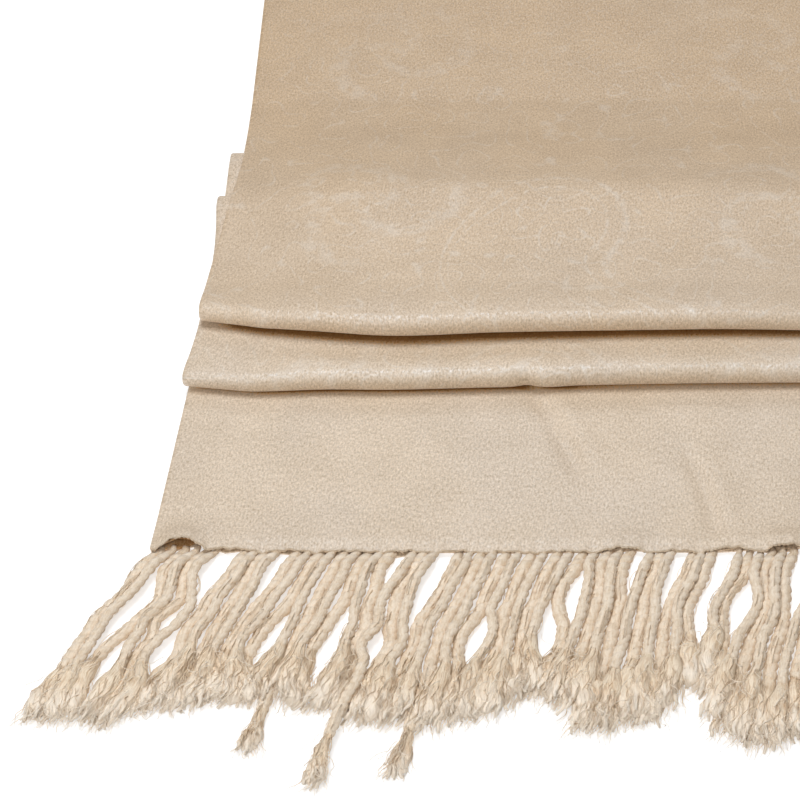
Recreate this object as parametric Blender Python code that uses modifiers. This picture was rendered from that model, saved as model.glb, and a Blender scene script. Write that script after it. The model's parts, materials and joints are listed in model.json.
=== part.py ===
"""A fringed stole, folded lengthwise in four and laid flat, with two cross folds near one end.

The cloth runs along Y. Places along it are given as distances from the near hem, and places on
a fringe as distances out from its hem. Everything is in metres, with the surface it lies on at Z = 0.
"""

import math

import bmesh
import bpy
import numpy as np
from mathutils import Matrix, Vector

# The stole as it is cut
STOLE_WIDTH = 0.70
BODY_LENGTH = 1.66
PLIES = 4
FOLDED_WIDTH = STOLE_WIDTH / PLIES
STRANDS_PER_PLY = 13

# The cloth as it is laid
PACK = 0.0020
SEAM = 0.0003
LAYER_GAP = 0.0005
EDGE_ROUND = 0.0005
LAP_END = 0.085
HIDDEN_START = LAP_END + 0.0006

# The cross folds, each at its distance from the near hem
SECOND_FRONT = 0.0565
FIRST_FRONT = 0.0706
UPPER_BACK = 0.133
LOWER_BACK = 0.160
UNDER_RUNS = 2 * LOWER_BACK + 2 * UPPER_BACK - 2 * SECOND_FRONT - FIRST_FRONT
FAR_HEM = FIRST_FRONT + BODY_LENGTH - UNDER_RUNS
SECOND_LOOP = 0.0068
FIRST_LOOP = 0.0074

# How far each cross fold swings in front of its mean line, across the cloth
FOLD_SWING = (
    # x, second, first
    (-0.085, 0.0004, 0.0048),
    (-0.062, -0.0016, 0.0014),
    (-0.043, -0.0008, -0.0003),
    (-0.026, -0.0010, -0.0016),
    (0.000, 0.0000, 0.0000),
    (0.040, 0.0012, 0.0007),
    (0.095, 0.0020, 0.0012),
)
SECOND_SWING, FIRST_SWING = 1, 2

# The top of the long run at mid width, from behind the first fold to where it lies flat
LONG_PROFILE = (
    # along, height
    (0.078, 0.0167),
    (0.100, 0.0140),
    (0.118, 0.0143),
    (0.131, 0.0150),
    (0.144, 0.0112),
    (0.158, 0.0078),
    (0.173, 0.0042),
    (0.190, 0.0020),
)
HEIGHT = 1
FLAT_START = LONG_PROFILE[-1][0]

# Left edges: each layer lies a little askew of the one below
HEM_LEFT = -FOLDED_WIDTH / 2
HEM_SKEW = 0.072
SECOND_LEFT = -0.0845
LONG_LEFT = -0.0750
FIRST_LEFT = -0.0813
LOWER_TIER_LEFT = -0.0793
UPPER_TIER_LEFT = -0.0807
TIER_GROOVE = 0.0008

# The stack is lower towards its side edges
CLOSED_LEFT = 0.76
CLOSED_RIGHT = 0.88
CLOSING_REACH = 0.040

# Low ripples in the long run, left by the hands that laid it
RIPPLES = (
    # along, slant, height, reach
    (0.300, 0.030, 0.0007, 0.034),
    (0.455, -0.045, 0.0010, 0.040),
    (0.865, 0.035, 0.0008, 0.036),
    (1.020, -0.020, 0.0011, 0.042),
    (1.190, 0.050, 0.0008, 0.034),
)

# The plies open a little at each hem
HEM_OPENING = 0.012
HEM_RISE = 0.0009
HEM_LIFTS = (
    # across, lift, reach
    (0.008, 0.0011, 0.008),
    (0.062, 0.0002, 0.010),
    (0.118, 0.0004, 0.012),
    (0.160, 0.0008, 0.013),
)

# The fringe
TAIL_REACH = 0.078
CORNER_REACH = 0.116
MIDDLE_LEAN = 0.015
LEAN_LENGTH = 0.062
LEAN_CURVE = 0.85
LEAN_FADE = 3
STRIP_DEPTH = 0.0020
STRIP_HEIGHT = {"lower": 0.0011, "upper": 0.0014}
STRIP_FLOOR = {"lower": 0.0002, "upper": 0.0016}
STRAND_FLOOR = {"lower": 0.0003, "upper": 0.0032}
STRAND_SHAPE = (
    # share of the reach, width, height
    (0.07, 0.0024, 0.0019),
    (0.22, 0.0024, 0.0022),
    (0.38, 0.0024, 0.0022),
    (0.54, 0.0024, 0.0022),
    (0.70, 0.0026, 0.0022),
    (0.86, 0.0046, 0.0026),
    (1.00, 0.0032, 0.0014),
)

# How far the fringe reaches out from the hem, by where a strand's root lies across it
REACHES = (
    # across, reach
    (0.000, 0.057),
    (0.014, 0.061),
    (0.030, 0.055),
    (0.052, 0.053),
    (0.064, 0.057),
    (0.084, 0.062),
    (0.100, 0.056),
    (0.110, 0.050),
    (0.122, 0.061),
    (0.136, 0.058),
    (0.146, 0.046),
    (0.156, 0.065),
    (0.175, 0.063),
)
REACH = 1
TAILS = (
    # level, strand, reach
    ("lower", 7, 0.067),
    ("upper", 9, TAIL_REACH),
    ("lower", 12, 0.074),
)

# Leaf-shaped openings that show the surface between bunches of strands
OPENINGS = (
    # across and out at the root end, across and out at the tip end, width
    (-0.003, 0.010, -0.013, 0.024, 0.0050),
    (0.007, 0.008, -0.009, 0.034, 0.0060),
    (0.001, 0.026, -0.013, 0.056, 0.0052),
    (0.010, 0.018, 0.003, 0.030, 0.0040),
    (0.009, 0.028, 0.002, 0.044, 0.0044),
    (0.019, 0.000, 0.013, 0.020, 0.0084),
    (0.034, 0.000, 0.027, 0.020, 0.0040),
    (0.037, 0.021, 0.025, 0.044, 0.0052),
    (0.052, 0.019, 0.039, 0.058, 0.0070),
    (0.058, 0.027, 0.055, 0.038, 0.0044),
    (0.064, 0.001, 0.061, 0.015, 0.0050),
    (0.074, 0.001, 0.066, 0.027, 0.0060),
    (0.087, 0.022, 0.079, 0.040, 0.0050),
    (0.100, 0.018, 0.095, 0.040, 0.0052),
    (0.108, 0.006, 0.102, 0.026, 0.0044),
    (0.122, 0.000, 0.118, 0.017, 0.0046),
    (0.132, 0.000, 0.129, 0.022, 0.0050),
    (0.143, 0.000, 0.134, 0.040, 0.0076),
    (0.149, 0.009, 0.142, 0.030, 0.0066),
    (0.161, 0.001, 0.156, 0.026, 0.0056),
)
OPENING_SPREAD = 0.009
ROOT_HOLD = 0.007
TIP_STEP = 0.001

# Where the walls have their sections, as distances along
COLUMNS = 12
TURN_STEPS = 8
FLAT_STEP = 0.036
HEM_STATIONS = (0, 0.002, 0.005, 0.009, HEM_OPENING)
PANEL_STATIONS = (0.022, 0.034, 0.046, 0.060, 0.073, LAP_END)
FIRST_SETTLED = 0.093
CREST_STATIONS = (FIRST_SETTLED, 0.100, 0.108, 0.117, 0.125, 0.131, 0.137, 0.144)
SLOPE_STATIONS = (0.151, 0.158, 0.165, 0.173, 0.181, FLAT_START)

# The stack of hidden layers
HIDDEN_LAYERS = 4
HIDDEN_CUTS = 7
LOWER_TIER_SHARE = 0.48

CLOTH = (0.58, 0.46, 0.33, 1.0)
SHADED_CLOTH = (0.45, 0.34, 0.23, 1.0)
YARN = (0.66, 0.54, 0.41, 1.0)


def material(name, colour, roughness):
    made = bpy.data.materials.new(name)
    made.use_nodes = True
    shader = made.node_tree.nodes["Principled BSDF"]
    shader.inputs["Base Color"].default_value = colour
    shader.inputs["Roughness"].default_value = roughness
    shader.inputs["Metallic"].default_value = 0.0
    return made


def smooth(share):
    """0 to 1 with level ends."""
    share = min(max(share, 0.0), 1.0)
    return share * share * (3 - 2 * share)


def curve(table, column, place):
    """A value read from a table on a smooth curve through its rows."""
    last = len(table) - 1
    if place <= table[0][0]:
        return table[0][column]
    if place >= table[last][0]:
        return table[last][column]
    row = max(i for i in range(last) if table[i][0] <= place)
    left, right = table[row], table[row + 1]
    step = right[0] - left[0]
    before = table[max(row - 1, 0)]
    after = table[min(row + 2, last)]
    slope_left = (right[column] - before[column]) / (right[0] - before[0]) * step
    slope_right = (after[column] - left[column]) / (after[0] - left[0]) * step
    t = (place - left[0]) / step
    return (
        (2 * t**3 - 3 * t**2 + 1) * left[column]
        + (t**3 - 2 * t**2 + t) * slope_left
        + (3 * t**2 - 2 * t**3) * right[column]
        + (t**3 - t**2) * slope_right
    )


def closing(x):
    """How much of its full height the stack keeps at x: it is lower towards its side edges."""
    from_left = (x - FIRST_LEFT) / CLOSING_REACH
    from_right = (FIRST_LEFT + FOLDED_WIDTH - x) / CLOSING_REACH
    left = CLOSED_LEFT + (1 - CLOSED_LEFT) * smooth(from_left)
    right = CLOSED_RIGHT + (1 - CLOSED_RIGHT) * smooth(from_right)
    return left * right


def hem_left(along):
    return HEM_LEFT + HEM_SKEW * along


def second_left(_along):
    return SECOND_LEFT


def long_left(along):
    settled = smooth((along - FIRST_FRONT) / (LOWER_BACK - FIRST_FRONT))
    return FIRST_LEFT + (LONG_LEFT - FIRST_LEFT) * settled


def levels(x):
    """Heights of the two loops of cloth at x: bottom and top of the second, then of the first."""
    share = closing(x)
    second_bottom = PACK + LAYER_GAP
    second_top = second_bottom + SECOND_LOOP * share
    first_bottom = second_top + LAYER_GAP
    return second_bottom, second_top, first_bottom, first_bottom + FIRST_LOOP * share


def long_top(x, along):
    """The top of the long run behind the first fold."""
    return PACK + (curve(LONG_PROFILE, HEIGHT, along) - PACK) * closing(x)


def ripple(x, along):
    height = 0.0
    for middle, slant, rise, reach in RIPPLES:
        distance = (along - middle - slant * x / FOLDED_WIDTH) / reach
        if abs(distance) < 1:
            height += rise * (1 - distance**2) ** 2
    return height


def hem_lift(across, out):
    """How high the plies stand off the surface near a hem, across it and this far in from it."""
    if out > HEM_OPENING:
        return 0.0
    rise = HEM_RISE
    for middle, lift, reach in HEM_LIFTS:
        rise += lift * math.exp(-(((across - middle) / reach) ** 2))
    return rise * smooth(1 - out / HEM_OPENING)


def column_share(u):
    """Columns gather towards the side edges, where the stack bends most."""
    return 0.5 + 0.5 * math.sin(math.pi / 2 * (2 * u - 1))


def turn(front, bottom, top):
    """Points round the front of a loop of cloth, from its underside to its top."""
    radius = (top - bottom) / 2
    middle = (top + bottom) / 2
    points = []
    for step in range(TURN_STEPS + 1):
        angle = math.pi * (step / TURN_STEPS - 0.5)
        points.append((front + radius * (1 - math.cos(angle)), middle + radius * math.sin(angle)))
    return points


def hem_panel_line(x):
    """Top of the panel that ends in the near hem."""
    stations = HEM_STATIONS + PANEL_STATIONS
    return [(along, PACK + hem_lift(x - HEM_LEFT, along)) for along in stations]


def second_fold_line(x):
    """Outer face of the second fold, from its underside round its front to beneath the first."""
    bottom, top, _, _ = levels(x)
    front = SECOND_FRONT + curve(FOLD_SWING, SECOND_SWING, x)
    line = [(LAP_END, bottom)]
    line += turn(front, bottom, top)
    behind = line[-1][0]
    return line + [(behind + (LAP_END - behind) * share, top) for share in (0.3, 0.65, 1.0)]


def long_run_line(x):
    """Outer face of the long run, from its underside round the first fold to the far hem."""
    _, _, bottom, top = levels(x)
    front = FIRST_FRONT + curve(FOLD_SWING, FIRST_SWING, x)
    line = [(LAP_END, bottom)]
    line += turn(front, bottom, top)
    behind = line[-1][0]
    for share in (0.35, 0.7):
        along = behind + (FIRST_SETTLED - behind) * share
        line.append((along, top + (long_top(x, FIRST_SETTLED) - top) * smooth(share)))
    flat = FAR_HEM - HEM_OPENING - FLAT_START
    steps = round(flat / FLAT_STEP)
    stations = list(CREST_STATIONS + SLOPE_STATIONS)
    stations += [FLAT_START + flat * (i + 1) / steps for i in range(steps - 1)]
    stations += [FAR_HEM - out for out in reversed(HEM_STATIONS)]
    right = LONG_LEFT + FOLDED_WIDTH
    for along in stations:
        lift = ripple(x, along) + hem_lift(right - x, FAR_HEM - along)
        line.append((along, long_top(x, along) + lift))
    return line


def cloth_wall(name, line, left, finish):
    """A wall of cloth: an open sheet through lines that run along it, then thickened."""
    middle_line = line(0.0)
    stations = len(middle_line) - 1
    mesh = bpy.data.meshes.new(name)
    shape = bmesh.new()
    bmesh.ops.create_grid(shape, x_segments=COLUMNS, y_segments=stations, size=1)
    for vert in shape.verts:
        u = (vert.co.x + 1) / 2
        station = round((vert.co.y + 1) / 2 * stations)
        x = left(middle_line[station][0]) + FOLDED_WIDTH * column_share(u)
        along, height = line(x)[station]
        vert.co = (left(along) + FOLDED_WIDTH * column_share(u), along, height)
    shape.to_mesh(mesh)
    shape.free()
    mesh.shade_smooth()
    mesh.materials.append(finish)
    wall = bpy.data.objects.new(name, mesh)
    thicken = wall.modifiers.new("Plies", "SOLIDIFY")
    thicken.thickness = PACK
    thicken.offset = -1
    thicken.use_even_offset = True
    soften = wall.modifiers.new("Edges", "BEVEL")
    soften.width = EDGE_ROUND
    soften.segments = 1
    soften.limit_method = "ANGLE"
    soften.angle_limit = math.radians(55)
    return wall


def folded_layers(finish):
    """The layers hidden in the stack, as one solid whose edges show four rounded layers."""
    name = "folded_layers"
    mesh = bpy.data.meshes.new(name)
    shape = bmesh.new()
    bmesh.ops.create_cube(shape, size=2)
    bmesh.ops.subdivide_edges(shape, edges=shape.edges[:], cuts=HIDDEN_CUTS, use_grid_fill=True)
    for vert in shape.verts:
        u, v, w = vert.co
        upper = w > 0
        # Rows of points fall by turns in a groove between two layers and on a layer's round edge.
        groove = TIER_GROOVE * abs(math.cos(math.pi * (w + 1) * HIDDEN_LAYERS / 2))
        back = (UPPER_BACK if upper else LOWER_BACK) - groove
        along = HIDDEN_START + (back - HIDDEN_START) * (v + 1) / 2
        left = (UPPER_TIER_LEFT if upper else LOWER_TIER_LEFT) + groove
        right = left + FOLDED_WIDTH - 2 * groove
        x = left + (right - left) * column_share((u + 1) / 2)
        under = long_top(x, along) - PACK - LAYER_GAP
        lower_top = min(LOWER_TIER_SHARE * (long_top(x, UPPER_BACK) - PACK), under)
        height = lower_top + w * (under - lower_top) if upper else (w + 1) * lower_top
        vert.co = (x, along, height)
    shape.to_mesh(mesh)
    shape.free()
    mesh.shade_smooth()
    mesh.materials.append(finish)
    return bpy.data.objects.new(name, mesh)


def lean(across, corner_lean):
    """How far a strand's tip lies to the side of its root, most at the corner of the hem."""
    share = min(max(across / FOLDED_WIDTH, 0.0), 1.0)
    return MIDDLE_LEAN + (corner_lean - MIDDLE_LEAN) * (1 - share) ** LEAN_FADE


def strand_across(root, out, corner_lean):
    """Where a strand lies, this far out: it leans as a whole, and parts round the openings."""
    tip_lean = lean(root, corner_lean)

    def leaning(at):
        return root - tip_lean * (at / LEAN_LENGTH) ** LEAN_CURVE

    across = leaning(out)
    for root_across, root_out, tip_across, tip_out, width in OPENINGS:
        share = (out - root_out) / (tip_out - root_out)
        if not 0 < share < 1:
            continue
        # A strand keeps to the side that it has half way along the opening.
        side = math.copysign(1, leaning((root_out + tip_out) / 2) - (root_across + tip_across) / 2)
        away = side * (across - root_across - (tip_across - root_across) * share)
        push = width / 2 * math.sin(math.pi * share) * smooth(out / ROOT_HOLD)
        across += side * push * math.exp(-away / OPENING_SPREAD)
    return across


def strand_reach(level, index, root):
    for tail_level, strand, reach in TAILS:
        if (level, index) == (tail_level, strand):
            return reach
    return curve(REACHES, REACH, root) - (0.002 if index % 2 else 0.0)


def fringe(name, level, hem, finish):
    """A narrow strip beside the hem, with a strand drawn out of each of its faces.

    The hem is its outer corner, the direction across it and the direction out of it.
    """
    corner, across_way, out_way = hem
    count = PLIES // 2 * STRANDS_PER_PLY
    pitch = FOLDED_WIDTH / (count + 0.5)
    offset = 0.0 if level == "lower" else pitch / 2
    floor = STRIP_FLOOR[level]
    tall = STRIP_HEIGHT[level]
    corner_lean = CORNER_REACH - abs(corner.x)

    def place(across, out, height):
        spot = corner + across * across_way + out * out_way
        return Vector((spot.x, spot.y, height))

    shape = bmesh.new()
    bmesh.ops.create_grid(shape, x_segments=count, y_segments=1, size=1)
    for vert in shape.verts:
        across = offset + (vert.co.x + 1) / 2 * pitch * count
        vert.co = place(across, SEAM + STRIP_DEPTH, floor + tall * (vert.co.y + 1) / 2)
    roots = sorted(shape.faces, key=lambda face: abs(face.calc_center_median().x - corner.x))
    bmesh.ops.recalc_face_normals(shape, faces=roots)
    if roots[0].normal.y * out_way.y < 0:
        bmesh.ops.reverse_faces(shape, faces=roots)
    bmesh.ops.solidify(shape, geom=roots, thickness=STRIP_DEPTH)
    ends = roots
    for share, width, depth in STRAND_SHAPE:
        drawn = bmesh.ops.extrude_discrete_faces(shape, faces=ends)["faces"]
        ends = sorted(drawn, key=lambda face: ends_order(face, corner, across_way))
        for index, face in enumerate(ends):
            root = offset + (index + 0.5) * pitch
            reach = strand_reach(level, index, root)
            out = share * reach
            across = strand_across(root, out, corner_lean)
            ahead = strand_across(root, out + TIP_STEP, corner_lean)
            run = Vector((ahead - across, TIP_STEP)).normalized()
            bottom = STRAND_FLOOR[level]
            middle = face.calc_center_median()
            for vert in face.verts:
                side = 1 if (vert.co - middle).dot(across_way) > 0 else -1
                high = vert.co.z > middle.z
                vert.co = place(
                    across + side * width / 2 * run.y,
                    out - side * width / 2 * run.x,
                    bottom + (depth if high else 0.0),
                )
    mesh = bpy.data.meshes.new(name)
    shape.to_mesh(mesh)
    shape.free()
    mesh.materials.append(finish)
    return bpy.data.objects.new(name, mesh)


def ends_order(face, corner, across_way):
    return (face.calc_center_median() - corner).dot(across_way)


def stand_on_origin(parts):
    """Moves every piece so that the middle of the whole part's underside is at the origin."""
    bpy.context.view_layer.update()
    graph = bpy.context.evaluated_depsgraph_get()
    points = []
    for part in parts:
        solid = part.evaluated_get(graph).to_mesh()
        points.append(np.array([vert.co[:] for vert in solid.vertices]))
        part.evaluated_get(graph).to_mesh_clear()
    points = np.concatenate(points)
    low, high = points.min(axis=0), points.max(axis=0)
    shift = Vector((-(low[0] + high[0]) / 2, -(low[1] + high[1]) / 2, 0))
    for part in parts:
        part.data.transform(Matrix.Translation(shift))


def main():
    for old in list(bpy.data.objects):
        bpy.data.objects.remove(old)
    group = bpy.data.collections.new("stole")
    bpy.context.scene.collection.children.link(group)
    cloth = material("stole cloth", CLOTH, 0.45)
    inside = material("inner layers", SHADED_CLOTH, 0.6)
    yarn = material("fringe yarn", YARN, 0.7)
    across, out = Vector((1, 0, 0)), Vector((0, -1, 0))
    near = (Vector((HEM_LEFT, 0, 0)), across, out)
    far = (Vector((LONG_LEFT + FOLDED_WIDTH, FAR_HEM, 0)), -across, -out)
    parts = [
        cloth_wall("hem_panel", hem_panel_line, hem_left, cloth),
        cloth_wall("second_fold", second_fold_line, second_left, cloth),
        cloth_wall("long_run", long_run_line, long_left, cloth),
        folded_layers(inside),
        fringe("near_fringe_lower", "lower", near, yarn),
        fringe("near_fringe_upper", "upper", near, yarn),
        fringe("far_fringe_lower", "lower", far, yarn),
        fringe("far_fringe_upper", "upper", far, yarn),
    ]
    for part in parts:
        group.objects.link(part)
    stand_on_origin(parts)


main()
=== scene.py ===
"""The looks of a fringed stole: plies of cloth, twisted strands and tufts in place of its solids.

Places along the cloth are distances from its near hem, and places across it are distances from
its middle. On a fringe they are distances from the hem's corner and out from the hem. All are in
metres.
"""

import json
import math
import random
from collections import namedtuple

import bpy
import numpy as np
from mathutils import Matrix, Vector
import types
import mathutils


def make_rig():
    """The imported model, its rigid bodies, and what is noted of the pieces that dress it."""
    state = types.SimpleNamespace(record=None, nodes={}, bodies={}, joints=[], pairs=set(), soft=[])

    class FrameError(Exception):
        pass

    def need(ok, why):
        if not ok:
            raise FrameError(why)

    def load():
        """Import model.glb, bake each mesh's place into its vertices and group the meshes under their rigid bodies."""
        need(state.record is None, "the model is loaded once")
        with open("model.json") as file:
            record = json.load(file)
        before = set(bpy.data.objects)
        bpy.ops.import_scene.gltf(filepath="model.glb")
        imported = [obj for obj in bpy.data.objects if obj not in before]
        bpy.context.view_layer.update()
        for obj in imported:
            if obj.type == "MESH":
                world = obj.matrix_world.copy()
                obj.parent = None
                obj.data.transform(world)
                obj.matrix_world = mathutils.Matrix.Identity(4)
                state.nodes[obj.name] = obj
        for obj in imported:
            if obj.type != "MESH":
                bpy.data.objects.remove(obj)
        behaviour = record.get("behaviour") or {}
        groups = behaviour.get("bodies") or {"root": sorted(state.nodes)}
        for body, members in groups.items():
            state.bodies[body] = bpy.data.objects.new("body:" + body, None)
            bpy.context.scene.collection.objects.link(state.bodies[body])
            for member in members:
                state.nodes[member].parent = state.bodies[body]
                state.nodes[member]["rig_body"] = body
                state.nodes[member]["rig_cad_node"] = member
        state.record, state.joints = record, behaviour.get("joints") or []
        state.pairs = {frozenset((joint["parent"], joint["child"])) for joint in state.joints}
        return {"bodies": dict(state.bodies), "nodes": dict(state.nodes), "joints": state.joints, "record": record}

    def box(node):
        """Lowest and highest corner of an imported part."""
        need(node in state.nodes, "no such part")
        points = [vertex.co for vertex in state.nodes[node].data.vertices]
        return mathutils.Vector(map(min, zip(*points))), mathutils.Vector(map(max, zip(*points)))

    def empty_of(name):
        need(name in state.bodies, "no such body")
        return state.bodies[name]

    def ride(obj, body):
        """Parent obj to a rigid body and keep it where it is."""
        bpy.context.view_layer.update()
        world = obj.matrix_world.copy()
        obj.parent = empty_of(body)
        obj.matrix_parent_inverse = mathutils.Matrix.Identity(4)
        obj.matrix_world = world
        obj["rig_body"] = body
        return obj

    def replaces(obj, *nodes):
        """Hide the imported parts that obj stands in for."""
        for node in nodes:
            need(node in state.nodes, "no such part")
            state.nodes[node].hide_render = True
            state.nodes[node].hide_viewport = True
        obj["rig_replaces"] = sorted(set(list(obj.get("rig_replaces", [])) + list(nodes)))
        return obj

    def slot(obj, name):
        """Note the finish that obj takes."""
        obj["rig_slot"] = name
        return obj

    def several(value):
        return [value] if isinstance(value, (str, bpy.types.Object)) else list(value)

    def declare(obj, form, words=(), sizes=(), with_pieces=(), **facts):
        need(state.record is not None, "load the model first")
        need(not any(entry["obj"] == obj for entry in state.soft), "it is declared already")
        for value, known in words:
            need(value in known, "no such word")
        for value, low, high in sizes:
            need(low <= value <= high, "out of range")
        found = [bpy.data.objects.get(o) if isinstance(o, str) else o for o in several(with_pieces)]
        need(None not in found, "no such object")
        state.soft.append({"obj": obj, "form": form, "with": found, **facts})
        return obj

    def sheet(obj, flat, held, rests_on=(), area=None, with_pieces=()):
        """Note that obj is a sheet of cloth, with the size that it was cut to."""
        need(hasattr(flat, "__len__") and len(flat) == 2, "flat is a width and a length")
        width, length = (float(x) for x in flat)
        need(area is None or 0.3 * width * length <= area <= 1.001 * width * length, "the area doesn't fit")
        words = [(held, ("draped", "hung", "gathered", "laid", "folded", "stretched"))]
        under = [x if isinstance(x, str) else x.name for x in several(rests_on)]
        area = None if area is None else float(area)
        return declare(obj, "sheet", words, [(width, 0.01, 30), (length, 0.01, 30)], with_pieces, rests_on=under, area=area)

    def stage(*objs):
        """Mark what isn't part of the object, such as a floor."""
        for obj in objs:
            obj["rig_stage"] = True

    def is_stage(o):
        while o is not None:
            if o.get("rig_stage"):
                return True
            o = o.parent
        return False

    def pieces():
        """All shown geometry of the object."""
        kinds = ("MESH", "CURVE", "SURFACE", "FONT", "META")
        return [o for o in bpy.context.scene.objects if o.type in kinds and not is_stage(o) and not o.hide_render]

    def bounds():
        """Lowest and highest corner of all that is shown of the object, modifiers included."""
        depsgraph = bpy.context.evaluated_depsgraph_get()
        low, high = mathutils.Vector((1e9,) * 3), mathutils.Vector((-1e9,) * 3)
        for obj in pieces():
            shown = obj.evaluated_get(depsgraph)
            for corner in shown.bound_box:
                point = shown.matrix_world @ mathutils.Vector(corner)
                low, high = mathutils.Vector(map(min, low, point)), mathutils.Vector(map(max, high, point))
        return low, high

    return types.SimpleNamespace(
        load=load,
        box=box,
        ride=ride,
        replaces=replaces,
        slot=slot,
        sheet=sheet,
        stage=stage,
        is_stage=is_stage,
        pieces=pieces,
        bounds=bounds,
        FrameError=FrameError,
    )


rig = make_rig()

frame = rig.load()
CAD_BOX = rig.bounds()

# The stole as it is cut, and as it is laid
STOLE_WIDTH = 0.70
BODY_LENGTH = 1.66
PLIES = 4
FOLDED_WIDTH = STOLE_WIDTH / PLIES
STRANDS_PER_PLY = 13
PACK = 0.0020
LAYER_GAP = 0.0005
LAP_END = 0.085

# One ply of cloth, and how the four lie in a pack
CLOTH = 0.00040
PLY = PACK / PLIES
PLY_DEPTHS = [PLY * (ply + 0.5) for ply in range(PLIES)]
OUTER_FOLD = 1.5 * PLY
INNER_FOLD = PLY / 2
INNER_CLEAR = 0.0002
OUTER_FOLD_STEPS, INNER_FOLD_STEPS = 12, 6
UPPER_SELVEDGE, LOWER_SELVEDGE = -1, -2
SHARP = math.radians(60)
FLOOR_DOWN = 0.0002
TABLE_GIVE = 0.00015

# The cross folds, each at its distance from the near hem
SECOND_FRONT = 0.0565
SECOND_FORWARD = 0.0003
FIRST_FRONT = 0.0706
UPPER_BACK = 0.133
LOWER_BACK = 0.160
UNDER_RUNS = 2 * LOWER_BACK + 2 * UPPER_BACK - 2 * SECOND_FRONT - FIRST_FRONT
FAR_HEM = FIRST_FRONT + BODY_LENGTH - UNDER_RUNS
SECOND_LOOP = 0.0068
FIRST_LOOP = 0.0074
FOLD_SWING = (
    # x, second, first
    (-0.085, 0.0022, 0.0090),
    (-0.079, 0.0014, 0.0078),
    (-0.070, 0.0001, 0.0056),
    (-0.062, -0.0008, 0.0033),
    (-0.043, -0.0002, 0.0000),
    (-0.026, -0.0003, -0.0013),
    (0.000, 0.0006, 0.0001),
    (0.040, 0.0019, 0.0010),
    (0.095, 0.0029, 0.0020),
)
SECOND_SWING, FIRST_SWING = 1, 2

# Small notches where a crease meets the second fold
PUCKERS = (
    # across, reach, depth
    (0.0973, 0.0028, 0.0007),
    (0.1035, 0.0045, -0.0004),
)

# The stretches of the cloth, as distances from the near hem along the cloth itself
SECOND_STARTS = 2 * LOWER_BACK - LAP_END
UPPER_STARTS = SECOND_STARTS + 2 * (LAP_END - SECOND_FRONT)
LONG_STARTS = UPPER_STARTS + 2 * (UPPER_BACK - LAP_END)

# The top of the long run at mid width, from behind the first fold to where it lies flat
LONG_PROFILE = (
    # along, height
    (0.078, 0.0167),
    (0.100, 0.0140),
    (0.118, 0.0143),
    (0.131, 0.0147),
    (0.144, 0.0118),
    (0.158, 0.0084),
    (0.173, 0.0046),
    (0.190, 0.0020),
)
HEIGHT = 1
FIRST_SETTLED = 0.093
LONG_WANDER = 0.0012

# Left edges: each layer lies a little askew of the one below
HEM_LEFT = -FOLDED_WIDTH / 2
HEM_SKEW = 0.072
SECOND_LEFT = -0.0846
SECOND_LEFT_BACK = -0.0815
LONG_LEFT = -0.0750
FIRST_LEFT = -0.0813
LOWER_TIER_LEFT = -0.0793
UPPER_TIER_LEFT = -0.0807
LOWER_REACH, UPPER_REACH = 0.050, 0.045
TIER_DRAWN_IN = 0.0012

# The hidden tiers of the stack
LOWER_TIER_SHARE = 0.48
TIER_GAP = 0.0002
TIER_RISE = 0.035
TIER_STEPS = 14
TIER_INWARD = 0.002
TIER_SPARE = 0.0003
ROUND_BACK = 0.0030

# The rounded fronts: a lower half stands the more upright, the lower that number is
UPRIGHT = 0.75
UNDER_STEPS, TURN_STEPS = 10, 26
SECOND_STEPS, FIRST_STEPS = 16, 11
SECOND_LIFTED = 0.0002
FIRST_LIFTED = 0.0007
SUNK_LEFT, SUNK_RIGHT = 0.0007, 0.0003

# The stack is lower towards its side edges
CLOSED_LEFT = 0.76
CLOSED_RIGHT = 0.88
CLOSING_REACH = 0.040

# Low ripples in the long run, left by the hands that laid it
RIPPLES = (
    # along, slant, height, reach
    (0.300, 0.030, 0.0007, 0.034),
    (0.455, -0.045, 0.0010, 0.040),
    (0.865, 0.035, 0.0008, 0.036),
    (1.020, -0.020, 0.0011, 0.042),
    (1.190, 0.050, 0.0008, 0.034),
)

# Creases, each a soft trough or ridge from one place to another
CREASE_BOW = 0.03
CREASE_SOFT = 0.35
PANEL_CREASES = (
    # across, along, to across, to along, depth, reach
    (0.0962, 0.0590, 0.1080, 0.0265, 0.00110, 0.0031),
    (0.1010, 0.0560, 0.1125, 0.0300, -0.00060, 0.0040),
    (0.1360, 0.0345, 0.1414, 0.0060, 0.00075, 0.0025),
    (0.1405, 0.0330, 0.1455, 0.0070, -0.00035, 0.0032),
    (0.0330, 0.0480, 0.0480, 0.0120, 0.00022, 0.0080),
    (0.0700, 0.0500, 0.0640, 0.0150, -0.00025, 0.0100),
)
LONG_CREASES = (
    (0.0230, 0.1420, 0.0800, 0.1310, -0.00045, 0.0060),
    (0.0900, 0.1340, 0.1500, 0.1290, -0.00020, 0.0080),
    (0.0300, 0.2300, 0.0900, 0.2100, 0.00030, 0.0120),
    (0.1000, 0.2600, 0.1500, 0.1900, -0.00035, 0.0160),
    (0.0400, 0.3600, 0.1300, 0.3900, 0.00040, 0.0180),
    (0.1500, 0.6200, 0.0500, 0.5600, 0.00045, 0.0200),
    (0.0200, 0.7400, 0.1100, 0.7100, 0.00040, 0.0180),
    (0.1200, 0.9500, 0.0300, 0.9200, -0.00045, 0.0200),
    (0.0600, 1.1200, 0.1500, 1.0900, 0.00045, 0.0180),
)

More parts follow.
